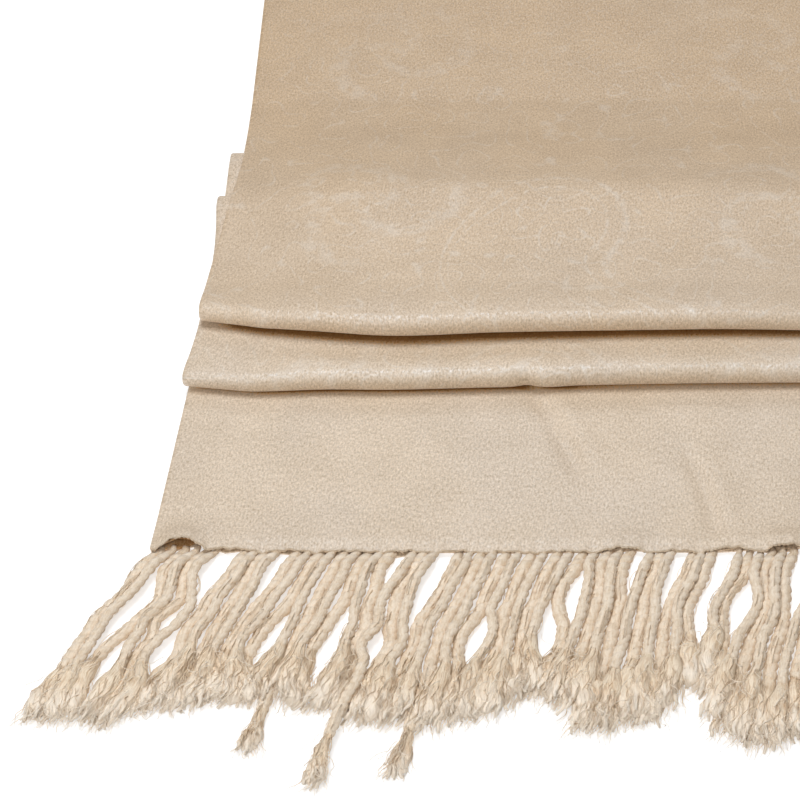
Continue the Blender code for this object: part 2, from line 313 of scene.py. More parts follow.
# The plies open a little at each hem
HEM_OPENING = 0.012
HEM_RISE = 0.0009
HEM_LIFTS = (
    # across, lift, reach
    (0.008, 0.0011, 0.008),
    (0.062, 0.0002, 0.010),
    (0.118, 0.0004, 0.012),
    (0.160, 0.0008, 0.013),
)
HEM_PLIES = (
    # from the top ply down: share of the lift, shift of its scallops, how far it draws back
    (1.00, 0.0000, -0.0004),
    (0.72, 0.0015, 0.0006),
    (0.10, 0.0060, 0.0011),
    (0.00, 0.0045, 0.0004),
)

# Where tassels pull the hem out, and how much it arches up from each to the next
HEM_DIPS = (
    # across, arch
    (-0.0030, 0.2),
    (0.0016, 2.6),
    (0.0141, 1.0),
    (0.0281, 0.7),
    (0.0415, 0.6),
    (0.0577, 0.5),
    (0.0704, 0.6),
    (0.0828, 0.5),
    (0.0964, 0.6),
    (0.1113, 1.3),
    (0.1249, 0.8),
    (0.1373, 1.5),
    (0.1521, 1.9),
    (0.1660, 1.2),
    (0.1780, 1.0),
)
DIP_OUT = 0.0007
ARCH_BACK = 0.0011
ARCH_RISE = 0.0005
MOUTH, MOUTH_REACH = 0.008, 0.011
PEEP, PEEP_REACH = 0.050, 0.016
LOWER_PEEPS = 0.0020
HEM_EDGE = 0.0045
HEM_PRESSED = 0.34
FLUTTER = 0.00014
# Painted shade inside the hem's lower plies, deeper in its mouth
HEM_PAINTED_SHADE = 0.12
MOUTH_PAINTED_SHADE = 0.60

# The thread that is sewn over a hem's edge
BINDING_STEP = 0.00030
BINDING_STITCH = 0.00105
BINDING_RADIUS = 0.00031
BINDING_SIDES = 6
BINDING_OUT = 0.00014
BINDING_DOWN = 0.00008
BINDING_WEAVE = 0.00007

# The fringe: how its strands reach and lean, and where they part
TAIL_REACH = 0.078
CORNER_REACH = 0.116
MIDDLE_LEAN = 0.015
LEAN_LENGTH = 0.062
LEAN_CURVE = 0.85
LEAN_FADE = 3
REACHES = (
    # across, reach
    (0.000, 0.057),
    (0.014, 0.061),
    (0.030, 0.055),
    (0.052, 0.053),
    (0.064, 0.057),
    (0.084, 0.062),
    (0.100, 0.056),
    (0.110, 0.050),
    (0.122, 0.061),
    (0.136, 0.058),
    (0.146, 0.046),
    (0.156, 0.065),
    (0.175, 0.063),
)
REACH = 1
EVERY_OTHER_SHORTER = 0.002
TAILS = {
    # level, strand: reach
    ("lower", 7): 0.067,
    ("upper", 9): TAIL_REACH,
    ("lower", 12): 0.074,
}
OPENINGS = (
    # across and out at the root end, across and out at the tip end, width
    (-0.003, 0.010, -0.013, 0.024, 0.0050),
    (0.007, 0.008, -0.009, 0.034, 0.0060),
    (0.001, 0.026, -0.013, 0.056, 0.0052),
    (0.010, 0.018, 0.003, 0.030, 0.0040),
    (0.009, 0.028, 0.002, 0.044, 0.0044),
    (0.019, 0.000, 0.013, 0.020, 0.0084),
    (0.034, 0.000, 0.027, 0.020, 0.0040),
    (0.037, 0.021, 0.025, 0.044, 0.0052),
    (0.052, 0.019, 0.039, 0.058, 0.0070),
    (0.058, 0.027, 0.055, 0.038, 0.0044),
    (0.064, 0.001, 0.061, 0.015, 0.0050),
    (0.074, 0.001, 0.066, 0.027, 0.0060),
    (0.087, 0.022, 0.079, 0.040, 0.0050),
    (0.100, 0.018, 0.095, 0.040, 0.0052),
    (0.108, 0.006, 0.102, 0.026, 0.0044),
    (0.122, 0.000, 0.118, 0.017, 0.0046),
    (0.132, 0.000, 0.129, 0.022, 0.0050),
    (0.143, 0.000, 0.134, 0.040, 0.0076),
    (0.149, 0.009, 0.142, 0.030, 0.0066),
    (0.161, 0.001, 0.156, 0.026, 0.0056),
)
OPENING_SPREAD = 0.009
OPEN_AT_HEM = 0.0011
ROOT_HOLD = 0.007

# How the strands and tufts are made, at the end that shows and at the far one
STRAND_STEP = {"near": 0.00060, "far": 0.00085}
STRAND_MIDDLE = {"lower": 0.00140, "upper": 0.00290}
ROOT_MIDDLE = {"lower": 0.00060, "upper": 0.00095}
STRAND_BEGINS = -0.0015
TWISTED_SHARE = 0.66
TWISTED_YARNS = 2
YARN, FIBRE = 0, 1
YARN_SIDES = 7
YARN_RADIUS = 0.00112
YARN_FLATNESS, YARN_LOBES = 0.74, 0.03
HELIX_RADIUS = 0.00032
TURN_LENGTH = (0.0042, 0.0060)
LOWER_WIDER = 1.24
TAIL_TWISTED = 0.80
TAIL_SPREAD = 0.55
BODY_POINTS, BODY_SIDES = 14, 10
BODY_BEGINS, BODY_ENDS = 0.0030, (0.80, 0.89)
BODY_ROOT, BODY_FULL = 0.0011, (0.0021, 0.0027)
LOCKS = {"near": 8, "far": 5}
LOCK_POINTS, LOCK_SIDES = 13, 6
LOCK_BEGINS, LOCK_ENDS = 0.0035, (0.78, 0.95)
LOCK_RADIUS = (0.00048, 0.00078)
LOCK_TINTS = 40
FIBRES = {"near": 45, "far": 19}
FIBRE_POINTS, FIBRE_SIDES = 11, 3
FIBRE_BEGINS, FIBRE_ENDS = (-0.18, 0.60), (0.80, 1.02)
FIBRE_RADIUS = (0.00008, 0.00014)
CURLS = {"near": 7, "far": 4}
CURL_POINTS = 12
HAIRS = {"near": 8, "far": 6}
HAIR_POINTS = 7
HAIR_RADIUS = (0.00007, 0.00011)
FAN_REACH = 0.013
LOWEST = 0.0002

# How locks and fibres lie: how far before its end the strand fans out, how much they sink and
# rise, their spread aside and above at the root, fanned out and flared, and how they are crimped
Lie = namedtuple("Lie", "before sinks rise aside above roll crimp wave sway")
LOCK_LIE = Lie(
    0.003, 0.30, 0, (0.0005, 0.0026, 0.0007), (0.0005, 0.0008), 0.6,
    (0.00030, 0.00065), (0.0050, 0.0095), 0.0016,
)
FIBRE_LIE = Lie(
    0.004, 0.25, 0.0004, (0.0013, 0.0026, 0.0008), (0.0010, 0.0009), 0.7,
    (0.00030, 0.00080), (0.0040, 0.0085), 0.0036,
)

# Camera, in the photo's own view
LENS_PIXELS = 2665
FRAME_PIXELS = 800
SENSOR = 36
CAMERA_ELEVATION = math.radians(42)
CAMERA_YAW = math.atan(100 / LENS_PIXELS)
CAMERA_BACK = 0.468
CAMERA_HEIGHT = 0.473

# The light: a pale world, a floor that glows, and three lights above, placed from the near hem
WORLD_COLOUR, WORLD_STRENGTH = (0.97, 0.98, 1.0, 1), 0.165
FLOOR_REACH = 6.0
FLOOR_GLOW = 0.56
LIGHTS = (
    # name, place, target, size, power, colour
    ("Key", (-0.06, 0.07, 0.74), (0, 0.05, 0), (0.36, 0.30), 3.2, (0.93, 0.96, 1.0)),
    ("Fill", (-0.35, -0.70, 0.68), (0, 0.05, 0), (0.45, 0.40), 4.3, (1.0, 1.0, 1.0)),
    ("Back", (0.05, 1.22, 0.85), (0, 1.27, 0), (0.50, 0.80), 4.4, (0.96, 0.97, 1.0)),
)

# Colours of the cloth and the yarn
LIGHT_CLOTH, DARK_CLOTH = (0.825, 0.556, 0.288, 1), (0.405, 0.230, 0.080, 1)
# How much paler and bluer the cloth is painted towards its hems: a painted sheen
PAINTED_SHEEN = (1.13, 1.31, 1.80, 1)
COOLER = (0.985, 1.0, 1.04, 1)
FIGURE_TONE, FIGURE_SHARE = (0.930, 0.850, 0.740, 1), 0.22
# Painted shade in the crevices and the hem's mouth: a warm tint at its edge, brown at its deepest, and a dark specular
# tint there in place of the bluish glint
PAINTED_SHADE_BROWN = (0.42, 0.27, 0.13, 1)
WARM_SHADE = (0.93, 0.76, 0.53, 1)
GLINT, PAINTED_SHADE_GLINT = (0.74, 0.88, 1.0, 1), (0.12, 0.08, 0.04, 1)
LIGHT_YARN, DARK_YARN = (0.885, 0.755, 0.600, 1), (0.635, 0.475, 0.310, 1)
LIGHT_FIBRE, DARK_FIBRE = (0.930, 0.790, 0.610, 1), (0.640, 0.460, 0.290, 1)
# Paler colour painted on the fibres' tips: painted light, where light shines through them
FIBRE_TIP_GLOW = (0.985, 0.885, 0.755, 1)
DARK_FLOOR, LIGHT_FLOOR = (0.60, 0.60, 0.60, 1), (0.64, 0.64, 0.64, 1)
WHITE = (1, 1, 1, 1)

# The pattern's repeats, how many waves a metre its noises have, and the weave's relief
PAISLEY_TILE, PAISLEY_START = (1 / 0.117, 1 / 0.190, 1), (0.30, 0.62, 0)
SPRIG_TILE, SPRIG_START = (1 / 0.117, 1 / 0.095, 1), (0.86, 0.15, 0)
MOTTLE_WAVES, PATCH_WAVES, WEAR_WAVES, SCROLL_WAVES = 60.0, 28.0, 240.0, 62.0
GRAIN_WAVES, FLOAT_WAVES = 2000.0, 1900.0
GRAIN_RELIEF, FLOAT_RELIEF, FIGURE_RELIEF = 0.00006, 0.00012, 0.00010


def smooth(share):
    """0 to 1 with level ends, for a number or an array."""
    share = np.clip(share, 0.0, 1.0)
    return share * share * (3 - 2 * share)


def bell(distance, reach, power=2):
    """1 at no distance, fading out beyond its reach."""
    return np.exp(-((distance / reach) ** power))


def beside(*parts):
    return np.concatenate(parts, axis=1)


def curve(table, column, place):
    """Values read from a table on a smooth curve through its rows."""
    rows = np.array(table, float)
    at, value = rows[:, 0], rows[:, column]
    place = np.clip(place, at[0], at[-1])
    row = np.clip(np.searchsorted(at, place, side="right") - 1, 0, len(at) - 2)
    before, after = np.maximum(row - 1, 0), np.minimum(row + 2, len(at) - 1)
    step = at[row + 1] - at[row]
    slope_left = (value[row + 1] - value[before]) / (at[row + 1] - at[before]) * step
    slope_right = (value[after] - value[row]) / (at[after] - at[row]) * step
    t = (place - at[row]) / step
    return (
        (2 * t**3 - 3 * t**2 + 1) * value[row]
        + (t**3 - 2 * t**2 + t) * slope_left
        + (3 * t**2 - 2 * t**3) * value[row + 1]
        + (t**3 - t**2) * slope_right
    )


def closing(x):
    """How far open the stack is at x: less towards its side edges."""
    from_left = (x - FIRST_LEFT) / CLOSING_REACH
    from_right = (FIRST_LEFT + FOLDED_WIDTH - x) / CLOSING_REACH
    left = CLOSED_LEFT + (1 - CLOSED_LEFT) * smooth(from_left)
    right = CLOSED_RIGHT + (1 - CLOSED_RIGHT) * smooth(from_right)
    return left * right


def levels(x):
    """Heights of the second and first loops' undersides and tops."""
    share = closing(x)
    second_bottom = PACK + LAYER_GAP + 0 * x
    second_top = second_bottom + SECOND_LOOP * share
    first_bottom = second_top + LAYER_GAP
    return second_bottom, second_top, first_bottom, first_bottom + FIRST_LOOP * share


def long_top(x, along):
    return PACK + (curve(LONG_PROFILE, HEIGHT, along) - PACK) * closing(x)


def ripple(x, along):
    height = 0 * x
    for middle, slant, rise, reach in RIPPLES:
        distance = np.clip((along - middle - slant * x / FOLDED_WIDTH) / reach, -1, 1)
        height = height + rise * (1 - distance**2) ** 2
    return height


def hem_lift(across, out):
    rise = HEM_RISE
    for middle, lift, reach in HEM_LIFTS:
        rise = rise + lift * bell(across - middle, reach)
    return rise * smooth(1 - out / HEM_OPENING)


def arching(across, shift):
    """0 where a tassel pulls the hem out, up to an arch's full height half way to the next."""
    dips, arches = np.array(HEM_DIPS).T
    dips = dips + shift
    row = np.clip(np.searchsorted(dips, across, side="right") - 1, 0, len(dips) - 2)
    share = np.clip((across - dips[row]) / (dips[row + 1] - dips[row]), 0, 1)
    return arches[row] * np.sin(math.pi * share) ** 0.8


def creased(creases, across, along):
    """Height that soft troughs and ridges add."""
    height = 0 * across
    for x0, y0, x1, y1, depth, reach in creases:
        run = math.hypot(x1 - x0, y1 - y0)
        way = ((x1 - x0) / run, (y1 - y0) / run)
        ahead = ((across - x0) * way[0] + (along - y0) * way[1]) / run
        aside = (along - y0) * way[0] - (across - x0) * way[1]
        bow = CREASE_BOW * run * np.sin(math.pi * np.clip(ahead, 0, 1))
        fading = smooth((ahead + 0.25) / 0.5) * smooth((1.25 - ahead) / 0.5)
        height = height - depth * fading * bell(aside - bow, reach)
    return height


def cross_section(fine, coarse):
    """Columns across the whole cloth, from one selvedge to the other as it lies folded.

    Each has its place across the flat cloth, its share of the way over a ply, the insets that
    its ply has from the left and right edges, a shift sideways and its depth in the pack.
    """
    outer_left = OUTER_FOLD + CLOTH / 2
    inner_left = CLOTH + CLOTH / 2 + INNER_CLEAR + INNER_FOLD
    fold_right = INNER_FOLD + CLOTH / 2
    top, second, third, lowest = PLY_DEPTHS
    width = FOLDED_WIDTH
    columns = []

    def ply(depth, count, start, inset_left, inset_right, flat):
        for i in range(count):
            share = i / (count - 1)
            u = start + (1 - 2 * start) * share
            columns.append((flat + width * share, u, inset_left, inset_right, 0, depth))

    def fold(depth, to_depth, count, u, inset_left, flat):
        radius = abs(to_depth - depth) / 2
        for i in range(1, count):
            angle = math.pi * i / count
            bulge = (2 * u - 1) * radius * math.sin(angle)
            height = (depth + to_depth) / 2 + (depth - to_depth) / 2 * math.cos(angle)
            columns.append((flat, u, inset_left, fold_right, bulge, height))

    ply(third, coarse, 1, inner_left, UPPER_SELVEDGE, 0)
    fold(third, second, INNER_FOLD_STEPS, 0, inner_left, width)
    ply(second, coarse, 0, inner_left, fold_right, width)
    fold(second, top, INNER_FOLD_STEPS, 1, outer_left, 2 * width)
    ply(top, fine, 1, outer_left, fold_right, 2 * width)
    fold(top, lowest, OUTER_FOLD_STEPS, 0, outer_left, 3 * width)
    ply(lowest, coarse, 0, outer_left, LOWER_SELVEDGE, 3 * width)
    return np.array(columns, float)


def selvedge_insets(along):
    """How far the two selvedges stop short of the right edge: never quite level."""
    upper = 0.0024 + 0.0010 * np.sin(along * 19 + 1) + 0.0004 * np.sin(along * 61)
    lower = 0.0013 + 0.0007 * np.sin(along * 23 + 4) + 0.0003 * np.sin(along * 71 + 2)
    return upper, lower


def linked(made):
    bpy.context.scene.collection.objects.link(made)
    return made


def new_object(name, verts, faces, **layers):
    """A smooth mesh object, with a UV layer for each set of values that its points have."""
    mesh = bpy.data.meshes.new(name)
    mesh.from_pydata(verts.tolist(), [], faces)
    corner_verts = np.empty(len(mesh.loops), int)
    mesh.loops.foreach_get("vertex_index", corner_verts)
    for layer_name, values in layers.items():
        layer = mesh.uv_layers.new(name=layer_name)
        layer.data.foreach_set("uv", values[corner_verts].ravel())
    mesh.shade_smooth()
    return linked(bpy.data.objects.new(name, mesh))


def pairs(first, second):
    """Two arrays as rows of two, once they have the same shape."""
    return np.stack(np.broadcast_arrays(first, second), axis=-1).reshape(-1, 2)


def resting(height):
    """Heights, lifted softly where they would dip into the surface below."""
    return (height + np.hypot(height, TABLE_GIVE)) / 2


def laid_cloth(name, start, path, left, fine, coarse, flipped, hem, relief, hollow):
    """A stretch of the cloth folded in four: a sheet of columns along it, made one ply thick.

    path(x) gives the outer face of the stretch along each column, as places along and heights.
    """
    table = cross_section(fine, coarse)
    flat, u, inset_left, inset_right, shift, depth = (table[:, i : i + 1] for i in range(6))
    if flipped:
        depth = PACK - depth

    def sideways(along):
        upper, lower = selvedge_insets(along)
        right = np.where(inset_right == LOWER_SELVEDGE, lower, inset_right)
        right = np.where(inset_right == UPPER_SELVEDGE, upper, right)
        return left(along) + inset_left + (FOLDED_WIDTH - inset_left - right) * u + shift

    middle, middle_height, _ = path(np.zeros((1, 1)))
    x = sideways(np.repeat(middle, len(table), axis=0))
    along, height, squeeze = path(x)
    step_along, step_height = np.gradient(along, axis=1), np.gradient(height, axis=1)
    size = np.hypot(step_along, step_height) + 1e-12
    turn = -1 if flipped else 1
    normal_along, normal_height = -turn * step_height / size, turn * step_along / size
    ply_along = along - normal_along * depth * squeeze
    ply_height = height - normal_height * depth * squeeze
    x = sideways(along)
    if relief:
        ply_height = ply_height + relief(x, along) * (1 - CREASE_SOFT * depth / PACK)
    if hem:
        ply_along, ply_height = hem(x, ply_along, ply_height, depth)
    # Painted shade: how much each place takes, handed to the finish in its own UV layer
    painted_shade_share = hollow(x, along, depth, u) if hollow else 0 * x
    run = np.cumsum(np.hypot(np.gradient(middle[0]), np.gradient(middle_height[0])))
    ply_height = CLOTH / 2 + resting(ply_height - CLOTH / 2)
    places = np.stack((X0 + x, Y0 + ply_along, ply_height), axis=-1).reshape(-1, 3)
    index = np.arange(x.size).reshape(x.shape)
    faces = np.stack((index[:-1, :-1], index[1:, :-1], index[1:, 1:], index[:-1, 1:]), axis=-1)
    sheet = new_object(
        name + "_sheet",
        places,
        faces.reshape(-1, 4).tolist(),
        cloth=pairs(flat, start + run[None, :]),
        hollow=pairs(painted_shade_share, 0 * painted_shade_share),
    )
    thicken = sheet.modifiers.new("Ply", "SOLIDIFY")
    thicken.thickness = CLOTH
    thicken.offset = 0
    thicken.use_even_offset = True
    bpy.context.view_layer.update()
    evaluated = sheet.evaluated_get(bpy.context.evaluated_depsgraph_get())
    mesh = bpy.data.meshes.new_from_object(evaluated)
    mesh.name = name
    mesh.set_sharp_from_angle(angle=SHARP)
    bpy.data.objects.remove(sheet)
    return linked(bpy.data.objects.new(name, mesh))


def stations(*spans):
    """Evenly spaced places over each span of low, high and step, with both of its ends."""
    counts = [max(int(math.ceil((high - low) / step)) + 1, 2) for low, high, step in spans]
    return np.concatenate([np.linspace(*span[:2], count) for span, count in zip(spans, counts)])


def near_hem(x, along, height, depth):
    return hemmed(x - HEM_LEFT, along, along, height, depth, 1)


def far_hem(x, along, height, depth):
    return hemmed(LONG_LEFT + FOLDED_WIDTH - x, FAR_HEM - along, along, height, depth, -1)


def hemmed(across, out, along, height, depth, inward):
    """Plies close up at a hem, which tassels pull into shallow scallops, and open in a mouth."""
    lift_shares, shifts, backs = np.array(HEM_PLIES).T
    upper = np.interp(depth, PLY_DEPTHS, lift_shares)
    shift = np.select([depth < ply * PLY for ply in range(1, PLIES)], shifts[:-1], shifts[-1])
    arch = np.zeros_like(across)
    for offset in np.unique(shift):
        arch = np.where(shift == offset, arching(across, offset), arch)
    near = 1 - smooth(out / HEM_OPENING)
    close = 1 - smooth(out / (HEM_OPENING * 0.6))
    edge = 1 - smooth(out / HEM_EDGE)
    mouth = bell(across - MOUTH, MOUTH_REACH, 4)
    height = height * (1 - HEM_PRESSED * edge * (1 - mouth))
    height = height + (hem_lift(across, out) - 0.7 * HEM_RISE * near) * upper
    height = height + ARCH_RISE * arch * close * (0.10 + 0.90 * upper)
    flutter = np.sin(across * 1460 + 2000 * depth) + 0.7 * np.sin(across * 2310 + 1 + 5000 * depth)
    height = height + FLUTTER * flutter * edge * (0.2 + 0.8 * upper)
    peeping = LOWER_PEEPS * bell(across - PEEP, PEEP_REACH, 4)
    under = np.interp(depth, PLY_DEPTHS, backs) - np.where(depth > 3 * PLY, peeping, 0)
    pulled = ARCH_BACK * arch - DIP_OUT + under + 0.7 * FLUTTER * flutter
    return along + inward * pulled * near, height


def pucker(x):
    return sum(depth * bell(x - HEM_LEFT - across, reach) for across, reach, depth in PUCKERS)


def second_front(x):
    return SECOND_FRONT + SECOND_FORWARD + curve(FOLD_SWING, SECOND_SWING, x) + pucker(x)


def first_front(x):
    return FIRST_FRONT + curve(FOLD_SWING, FIRST_SWING, x)


def from_edges(u):
    """0 at a ply's side edges, 1 a little way in from them."""
    return smooth(u / 0.012) * smooth((1 - u) / 0.03)


def under_second(x, along, depth, u):
    """Painted shade on the panel: how deep a place lies in the crevice under the second fold, or in the hem."""
    crevice = smooth((along - second_front(x) - 0.0009) / 0.0018) * (depth < PLY)
    inside = (depth > PLY) & (depth < 3 * PLY)
    mouth = bell(x - HEM_LEFT - MOUTH, MOUTH_REACH, 4)
    hem = (HEM_PAINTED_SHADE + MOUTH_PAINTED_SHADE * mouth) * inside * smooth((HEM_OPENING - along) / 0.004)
    return from_edges(u) * np.maximum(crevice, hem)


def under_first(x, along, depth, u):
    """Painted shade on the strip: how deep a place lies in the crevice under the first fold."""
    crevice = smooth((along - first_front(x) + 0.0004) / 0.0034) * (depth < PLY)
    return from_edges(u) * crevice * smooth((x - FIRST_LEFT - 0.0025) / 0.008)


def panel_relief(x, along):
    return creased(PANEL_CREASES, x - HEM_LEFT, along)


def long_relief(x, along):
    return creased(LONG_CREASES, x - HEM_LEFT, along) * smooth((along - LAP_END) / 0.02)


PANEL_STATIONS = stations(
    (0, HEM_OPENING, 0.0006),
    (0.0128, 0.060, 0.0011),
    (0.0635, LAP_END, 0.004),
)
LONG_STATIONS = stations(
    (FIRST_SETTLED + 0.0018, 0.200, 0.0019),
    (0.2030, 0.320, 0.0033),
    (0.3300, FAR_HEM - HEM_OPENING - 0.010, 0.012),
    (FAR_HEM - HEM_OPENING, FAR_HEM, 0.0009),
)


def hem_panel_path(x):
    along = PANEL_STATIONS[None, :] + 0 * x
    return along, PACK + 0 * along, 1.0


def loop_path(front, bottom, top, behind, behind_height, lifted):
    """The outer face of a loop: its underside, which lifts, its round front, then its top."""
    low = bottom + lifted
    radius = (top - low) / 2
    share = np.linspace(0, 1, UNDER_STEPS + 1)[None, :-1]
    under = LAP_END + (front + radius - LAP_END) * share
    under_height = bottom + lifted * smooth((share - 0.25) / 0.75) + 0 * under
    angle = math.pi * (np.arange(TURN_STEPS + 1) / TURN_STEPS - 0.5)[None, :]
    reach = np.where(angle < 0, np.clip(np.cos(angle), 0, 1) ** UPRIGHT, np.cos(angle))
    turn_height = (top + low) / 2 + radius * np.sin(angle)
    along = beside(under, front + radius * (1 - reach), behind)
    return along, beside(under_height, turn_height, behind_height), 1.0


def second_fold_path(x):
    x = x[:, :1]
    bottom, top, _, _ = levels(x)
    front = second_front(x)
    start = front + (top - bottom) / 2
    behind = start + (LAP_END - start) * np.linspace(0, 1, SECOND_STEPS + 1)[None, 1:]
    sunk = SUNK_LEFT + (SUNK_RIGHT - SUNK_LEFT) * smooth(x / 0.045)
    behind_height = top - sunk * smooth((behind - start - 0.0010) / 0.0085)
    return loop_path(front, bottom, top, behind, behind_height, SECOND_LIFTED)


def long_run_path(x):
    x = x[:, :1]
    _, _, bottom, top = levels(x)
    front = first_front(x)
    share = np.linspace(0, 1, FIRST_STEPS + 1)[None, 1:]
    start = front + (top - bottom) / 2
    settling = start + (FIRST_SETTLED - start) * share
    settling_height = top + (long_top(x, FIRST_SETTLED) - top) * smooth(share)
    settled = LONG_STATIONS[None, :] + 0 * x
    settled_height = long_top(x, settled) + ripple(x, settled)
    behind, behind_height = beside(settling, settled), beside(settling_height, settled_height)
    lifted = FIRST_LIFTED * smooth((x - FIRST_LEFT - 0.002) / 0.030)
    return loop_path(front, bottom, top, behind, behind_height, lifted)


def tier_path(x, back, bottom_at, top_at):
    """The outer face of a hidden tier: back along its underside, round its back, and forward."""
    x = x[:, :1]
    share = np.linspace(0, 1, TIER_STEPS + 1)[None, :]
    bottom_back = bottom_at(x, back - TIER_INWARD)
    top_back = top_at(x, back - TIER_INWARD)
    radius = (top_back - bottom_back) / 2
    out = LAP_END + (back - radius - LAP_END) * share[:, :-1]
    angle = math.pi * (np.arange(TIER_STEPS + 1) / TIER_STEPS - 0.5)[None, :]
    turn = back - radius * (1 - np.cos(angle))
    turn_height = (top_back + bottom_back) / 2 + radius * np.sin(angle)
    home = (back - radius) + (LAP_END - back + radius) * share[:, 1:]
    low, high = bottom_at(x, out), top_at(x, home)
    turn_room = (top_back - bottom_back) + 0 * turn
    room = beside(top_at(x, out) - low, turn_room, high - bottom_at(x, home))
    squeeze = np.minimum(1.0, (room - TIER_SPARE) / (2 * PACK))
    return beside(out, turn, home), beside(low, turn_height, high), squeeze


def rising(along, low, high):
    """From one height where the tiers begin to another behind it."""
    return low + (high - low) * smooth((along - LAP_END) / TIER_RISE)


def tier_middle(x):
    """Where the upper tier lies on the lower one."""
    return LOWER_TIER_SHARE * (long_top(x, UPPER_BACK) - PACK)


def tier_ceiling(x, along):
    return long_top(x, along) - PACK - LAYER_GAP


def lower_bottom(x, along):
    return 0 * x + 0 * along


def lower_top(x, along):
    height = rising(along, 2 * PACK + LAYER_GAP, tier_middle(x))
    return np.minimum(height, tier_ceiling(x, along))


def upper_bottom(x, along):
    _, second_top, _, _ = levels(x)
    return rising(along, second_top - PACK, tier_middle(x) + TIER_GAP)


def upper_top(x, along):
    _, _, first_bottom, _ = levels(x)
    ceiling = tier_ceiling(x, along)
    return np.minimum(rising(along, first_bottom + PACK, ceiling), ceiling)


def lower_path(x):
    return tier_path(x, LOWER_BACK + ROUND_BACK, lower_bottom, lower_top)


def upper_path(x):
    return tier_path(x, UPPER_BACK + ROUND_BACK, upper_bottom, upper_top)


def hem_left(along):
    return HEM_LEFT + HEM_SKEW * along


def second_left(along):
    share = (along - 0.052) / (LAP_END - 0.050)
    return SECOND_LEFT + (SECOND_LEFT_BACK - SECOND_LEFT) * smooth(share)


def long_left(along):
    settled = smooth((along - FIRST_FRONT) / (LOWER_BACK - FIRST_FRONT))
    wander = LONG_WANDER * np.sin(along * 9) * smooth((along - 0.3) / 0.3)
    return FIRST_LEFT + (LONG_LEFT - FIRST_LEFT) * settled + wander


def tier_left(under, over, back_left, reach):
    """Left edge of a tier whose under and upper runs leave their neighbours at different places."""

    def left(along):
        share = np.arange(along.shape[1])[None, :] / (along.shape[1] - 1)
        start = under + (over - under) * smooth((share - 0.4) / 0.2)
        back = (along - LAP_END) / reach
        drawn_in = TIER_DRAWN_IN * np.sin(math.pi * np.clip(back, 0, 1))
        return start + (back_left - start) * smooth(back) + drawn_in

    return left


lower_left = tier_left(hem_left(LAP_END), SECOND_LEFT_BACK, LOWER_TIER_LEFT, LOWER_REACH)
upper_left = tier_left(SECOND_LEFT_BACK, FIRST_LEFT, UPPER_TIER_LEFT, UPPER_REACH)


def lean(across, corner_lean):
    share = min(max(across / FOLDED_WIDTH, 0.0), 1.0)
    return MIDDLE_LEAN + (corner_lean - MIDDLE_LEAN) * (1 - share) ** LEAN_FADE


def strand_across(root, out, corner_lean):
    """Where a strand lies, this far out: it leans as a whole, and parts round the openings."""
    tip_lean = lean(root, corner_lean)
    outward = max(out, 0.0)

    def leaning(at):
        return root - tip_lean * (at / LEAN_LENGTH) ** LEAN_CURVE

    across = leaning(outward)
    for root_across, root_out, tip_across, tip_out, width in OPENINGS:
        share = (outward - root_out) / (tip_out - root_out)
        if not (0 if root_out > OPEN_AT_HEM else -0.1) <= share < 1:
            continue
        share = max(share, 0.0)
        middle = (root_across + tip_across) / 2
        side = math.copysign(1, leaning((root_out + tip_out) / 2) - middle)
        away = side * (across - root_across - (tip_across - root_across) * share)
        if root_out <= OPEN_AT_HEM:
            rounded = 0.55 + 0.45 * math.sin(math.pi * share)
            shape = math.cos(math.pi / 2 * share) ** 0.8 * rounded
        else:
            shape = math.sin(math.pi * share) * float(smooth(outward / ROOT_HOLD))
        across += side * width / 2 * shape * math.exp(-away / OPENING_SPREAD)
    return across


def strand_reach(level, index, root):
    if (level, index) in TAILS:
        return TAILS[level, index]
    return float(curve(REACHES, REACH, root)) - (EVERY_OTHER_SHORTER if index % 2 else 0.0)


def any_turn(chance):
    return chance.uniform(0, 2 * math.pi)


def strand_path(level, index, root, corner_lean, step, chance):
    """A strand's middle line, out from the hem, as places across, out and up."""
    reach = strand_reach(level, index, root)
    wobble = [any_turn(chance) for _ in range(2)]
    line = []
    for out in np.arange(STRAND_BEGINS, reach + 1e-6, step):
        across = strand_across(root, out, corner_lean)
        across += 0.00020 * math.sin(out * 420 + wobble[0]) * float(smooth(out / 0.01))
        rise = float(smooth((out - 0.0002) / 0.0070))
        up = ROOT_MIDDLE[level] + (STRAND_MIDDLE[level] - ROOT_MIDDLE[level]) * rise
        up += 0.00012 * math.sin(out * 300 + wobble[1]) * rise
        line.append((across, out, up))
    return np.array(line), reach


